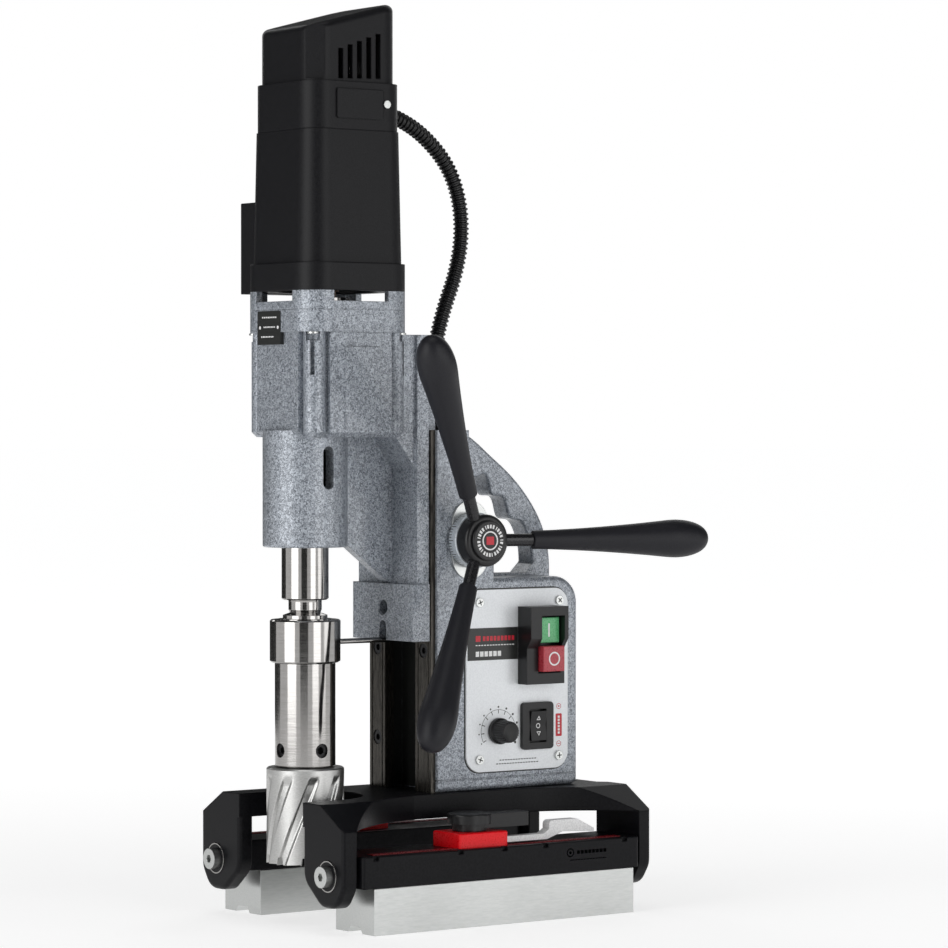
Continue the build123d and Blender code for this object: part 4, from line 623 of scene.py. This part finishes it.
# ---- Hub badge and dial marks ----------------------------------------------------------------
HUB_Y, HUB_Z = 113.0, 268.6
BADGE_X = 66.7
badge = Film(on_x(BADGE_X), 0.10, 0.09)
badge.arc(HUB_Y, HUB_Z, 5.8, 6.8, 0, 360, 64)
BADGE_TICKS = 26
for k in range(BADGE_TICKS):
    turn = 360 / BADGE_TICKS * k
    badge.arc(HUB_Y, HUB_Z, 8.8, 11.4, turn, turn + (8.5 if k % 4 else 4), 3)
badge.make("badge_ring", "feed", INK_WHITE, "panel")
badge_red = Film(on_x(BADGE_X), 0.10, 0.09)
badge_red.rounded(HUB_Y - 3.3, HUB_Z - 2.9, HUB_Y + 3.3, HUB_Z + 2.9, 0.5)
badge_red.make("badge_centre", "feed", INK_RED, "red_plastic")

DIAL_R = 19.72
DIAL_BACK = 43.4


def on_dial(x, turn, lift):
    angle = math.radians(turn)
    radius = DIAL_R + lift
    return (DIAL_BACK + x, HUB_Y + radius * math.cos(angle), HUB_Z + radius * math.sin(angle))


dial_marks = Film(on_dial, 0.05, 0.06)
for k in range(60):
    dial_marks.bar(0.6, 6 * k - 0.8, 3.4 if k % 5 else 5.6, 6 * k + 0.8)
dial_marks.make("dial_marks", "feed", BLACK_INK_AND_SHADE, "black_plastic")


# ---- Painted shade: black films in the channel between the slide rails -----------------------
CHANNEL_WALL, CHANNEL_BACK, RAILS_BACK = 24.0, 100.2, 90.0
CHANNEL_LOW, CHANNEL_HIGH = 89.6, 346.6
# Painted shade: thin black films on the back and walls of the channel, where shade falls
channel = Film(lambda x, z, lift: (x, CHANNEL_BACK - lift, z), 0.05, 0.04)
channel.bar(0.1 - CHANNEL_WALL, CHANNEL_LOW, CHANNEL_WALL - 0.1, CHANNEL_HIGH)
channel.make("channel_painted_shade_back", "stand", BLACK_INK_AND_SHADE, "black_plastic")
for side_name, side in (("right", 1), ("left", -1)):
    wall = Film(lambda y, z, lift, side=side: (side * (CHANNEL_WALL - lift), y, z), 0.05, 0.04)
    wall.bar(RAILS_BACK, CHANNEL_LOW, CHANNEL_BACK - 0.1, CHANNEL_HIGH)
    wall.make("channel_painted_shade_" + side_name, "stand", BLACK_INK_AND_SHADE, "black_plastic")


# ---- Painted faces of the swivel bushes, with a bright rim left round each -------------------
PIVOT_X, PIVOT_Z = 71.5, 40.3
for end_name, face_y, outward in (("front", -29.8, -1), ("rear", 240.0, 1)):
    def on_ear(x, z, lift, face_y=face_y, outward=outward):
        return (x, face_y + outward * lift, z)

    caps = Film(on_ear, 0.05, 0.04)
    for x in (-PIVOT_X, PIVOT_X):
        caps.arc(x, PIVOT_Z, 7.5, 10.1, 0, 360, 48)
    caps.make("bush_faces_" + end_name, "stand", FINISHES["black_coat"], "black_coat")


# ---- Data plate on the gear case -------------------------------------------------------------
CASE_FRONT = -26.0
DATA_LEFT, DATA_RIGHT = -21.0, 8.4


def on_case(x, z, lift):
    return (x, CASE_FRONT - lift, z)


data_plate = Film(on_case, PLATE_LIFT, 0.29)
data_plate.rounded(DATA_LEFT, 415.6, DATA_RIGHT, 430.6, 0.8)
data_plate.make("data_plate", "head", BLACK_INK_AND_SHADE, "black_plastic")
data_plate_low = Film(on_case, PLATE_LIFT, 2.9)
data_plate_low.bar(DATA_LEFT, 407.0, DATA_RIGHT, 415.7)
data_plate_low.make("data_plate_low", "head", BLACK_INK_AND_SHADE, "black_plastic")
plate_marks = Film(on_case, PLATE_INK_LIFT, 0.05)
for x in (DATA_LEFT + 3.4, DATA_RIGHT - 3.4):
    plate_marks.disc(x, 419.0, 1.2, 20)
for line_low, left, right in ((425.6, -15, 4), (418.8, -13, 2), (412.0, -16, 0)):
    plate_marks.row(8, left, (right - left) / 8, (right - left) / 12, line_low, line_low + 1)
plate_marks.make("data_plate_marks", "head", INK_WHITE, "panel")


# ---- Magnet housings: red lacquered top plates and a generic mark ----------------------------
HOUSING_TOP, HOUSING_SIDE = 54.5, 94.9
MARK_Y = 163.0
for side_name, sign in (("right", 1), ("left", -1)):
    def on_top(u, v, lift, sign=sign):
        return (sign * u, v, HOUSING_TOP + lift)

    top = Film(on_top, 0.5, 0.49)
    for first, last in ((-3.0, 68.9), (112.2, 213.0)):
        top.bar(81.0, first, 88.5, last)
    top.make("top_plate_" + side_name, "magnet_" + side_name, RED_LACQUER, "red_plastic")

    def on_flank(u, v, lift, sign=sign):
        return (sign * (HOUSING_SIDE + lift), u, v)

    mark = Film(on_flank, 0.05, 0.04)
    mark.arc(MARK_Y, 46.5, 2.3, 3.2, 0, 360, 32)
    mark.disc(MARK_Y, 46.5, 1.1, 20)
    mark.row(8, MARK_Y + 6, 3.4, 2.5, 45.2, 47.8)
    mark.row(12, MARK_Y, 2.7, 2.0, 40.8, 41.6)
    mark.make("housing_mark_" + side_name, "magnet_" + side_name, INK_WHITE, "panel")


# ---- Floor, light and backdrop ---------------------------------------------------------------
floor_mesh = bpy.data.meshes.new("floor")
RINGS, SPOKES = 24, 64
FIRST_RING, RING_GROWTH = 0.02, 1.45
FLOOR_Y, FLOOR_Z = 0.1, -0.0002
floor_verts = []
for r in range(RINGS):
    radius = FIRST_RING * RING_GROWTH ** r
    for s in range(SPOKES):
        angle = 2 * math.pi * s / SPOKES
        floor_verts.append((radius * math.cos(angle), FLOOR_Y + radius * math.sin(angle), FLOOR_Z))
floor_mesh.from_pydata(floor_verts, [], grid_faces(RINGS, SPOKES, True) + [tuple(range(SPOKES))])
floor = bpy.data.objects.new("floor", floor_mesh)
bpy.context.scene.collection.objects.link(floor)
paper = bpy.data.materials.new("white_sweep")
paper.use_nodes = True
nodes, links = paper.node_tree.nodes, paper.node_tree.links
shader = nodes["Principled BSDF"]
shader.inputs["Roughness"].default_value = 0.75
shader.inputs["Base Color"].default_value = (0.5, 0.5, 0.5, 1)
shader.inputs["Emission Color"].default_value = (1, 1, 1, 1)
coords = nodes.new("ShaderNodeTexCoord")
distance = nodes.new("ShaderNodeVectorMath")
distance.operation = "LENGTH"
links.new(coords.outputs["Object"], distance.inputs[0])
fade = nodes.new("ShaderNodeMapRange")
set_inputs(fade, From_Min=0.3, From_Max=2.2, To_Min=0.66, To_Max=0.96)
links.new(distance.outputs["Value"], fade.inputs["Value"])
links.new(fade.outputs["Result"], shader.inputs["Emission Strength"])
floor_mesh.materials.append(paper)

bpy.context.scene.view_settings.view_transform = "Standard"
world = bpy.data.worlds.new("studio")
bpy.context.scene.world = world
world.use_nodes = True
nodes, links = world.node_tree.nodes, world.node_tree.links
backdrop = nodes["Background"]
backdrop.inputs["Color"].default_value = (1, 1, 1, 1)
backdrop.inputs["Strength"].default_value = 1.0
room = nodes.new("ShaderNodeBackground")
room.inputs["Color"].default_value = (0.95, 0.97, 1.0, 1)
room.inputs["Strength"].default_value = 0.07
ray = nodes.new("ShaderNodeLightPath")
choose = nodes.new("ShaderNodeMixShader")
links.new(ray.outputs["Is Camera Ray"], choose.inputs["Fac"])
links.new(room.outputs["Background"], choose.inputs[1])
links.new(backdrop.outputs["Background"], choose.inputs[2])
links.new(choose.outputs["Shader"], nodes["World Output"].inputs["Surface"])


def softbox(name, azimuth, elevation, distance, width, height, power, aim=(0, 0.06, 0.34)):
    """An area light round the object; azimuth 0 is in front, 90 at the panel side."""
    a, e = math.radians(azimuth), math.radians(elevation)
    away = Vector((math.sin(a) * math.cos(e), -math.cos(a) * math.cos(e), math.sin(e)))
    data = bpy.data.lights.new(name, "AREA")
    data.shape = "RECTANGLE"
    data.size, data.size_y, data.energy = width, height, power
    lamp = bpy.data.objects.new(name, data)
    bpy.context.scene.collection.objects.link(lamp)
    lamp.location = Vector(aim) + away * distance
    lamp.rotation_mode = "QUATERNION"
    lamp.rotation_quaternion = (-away).to_track_quat("-Z", "Y")
    lamp.visible_camera = False
    return lamp


def dark_card(name, azimuth, distance, width, height):
    """A black card, hidden from the camera and casting no shadow, that darkens reflections."""
    a = math.radians(azimuth)
    middle = Vector((math.sin(a), -math.cos(a), 0)) * distance
    along_card = Vector((math.cos(a), math.sin(a), 0)) * width / 2
    verts = [middle - along_card, middle + along_card]
    verts += [v + Vector((0, 0, height)) for v in reversed(verts)]
    mesh = bpy.data.meshes.new(name)
    mesh.from_pydata([tuple(v) for v in verts], [], [(0, 1, 2, 3)])
    mesh.materials.append(BLACK_INK_AND_SHADE)
    card = bpy.data.objects.new(name, mesh)
    bpy.context.scene.collection.objects.link(card)
    card.visible_camera = False
    card.visible_shadow = False


softbox("key", 4, 12, 1.9, 1.25, 1.7, 19.5)
softbox("side", 94, 10, 2.0, 0.9, 1.6, 10.5)
softbox("far_side", 128, 4, 2.2, 0.8, 1.5, 6)
softbox("left_rim", -95, 35, 1.4, 0.3, 1.0, 2)
dark_card("dark_card_camera", 52, 2.1, 1.05, 2.0)
dark_card("dark_card_left", -88, 1.7, 2.4, 1.6)
softbox("top", 40, 78, 1.9, 1.0, 1.0, 6)
softbox("back_fill", 215, 25, 2.4, 1.4, 1.4, 8)
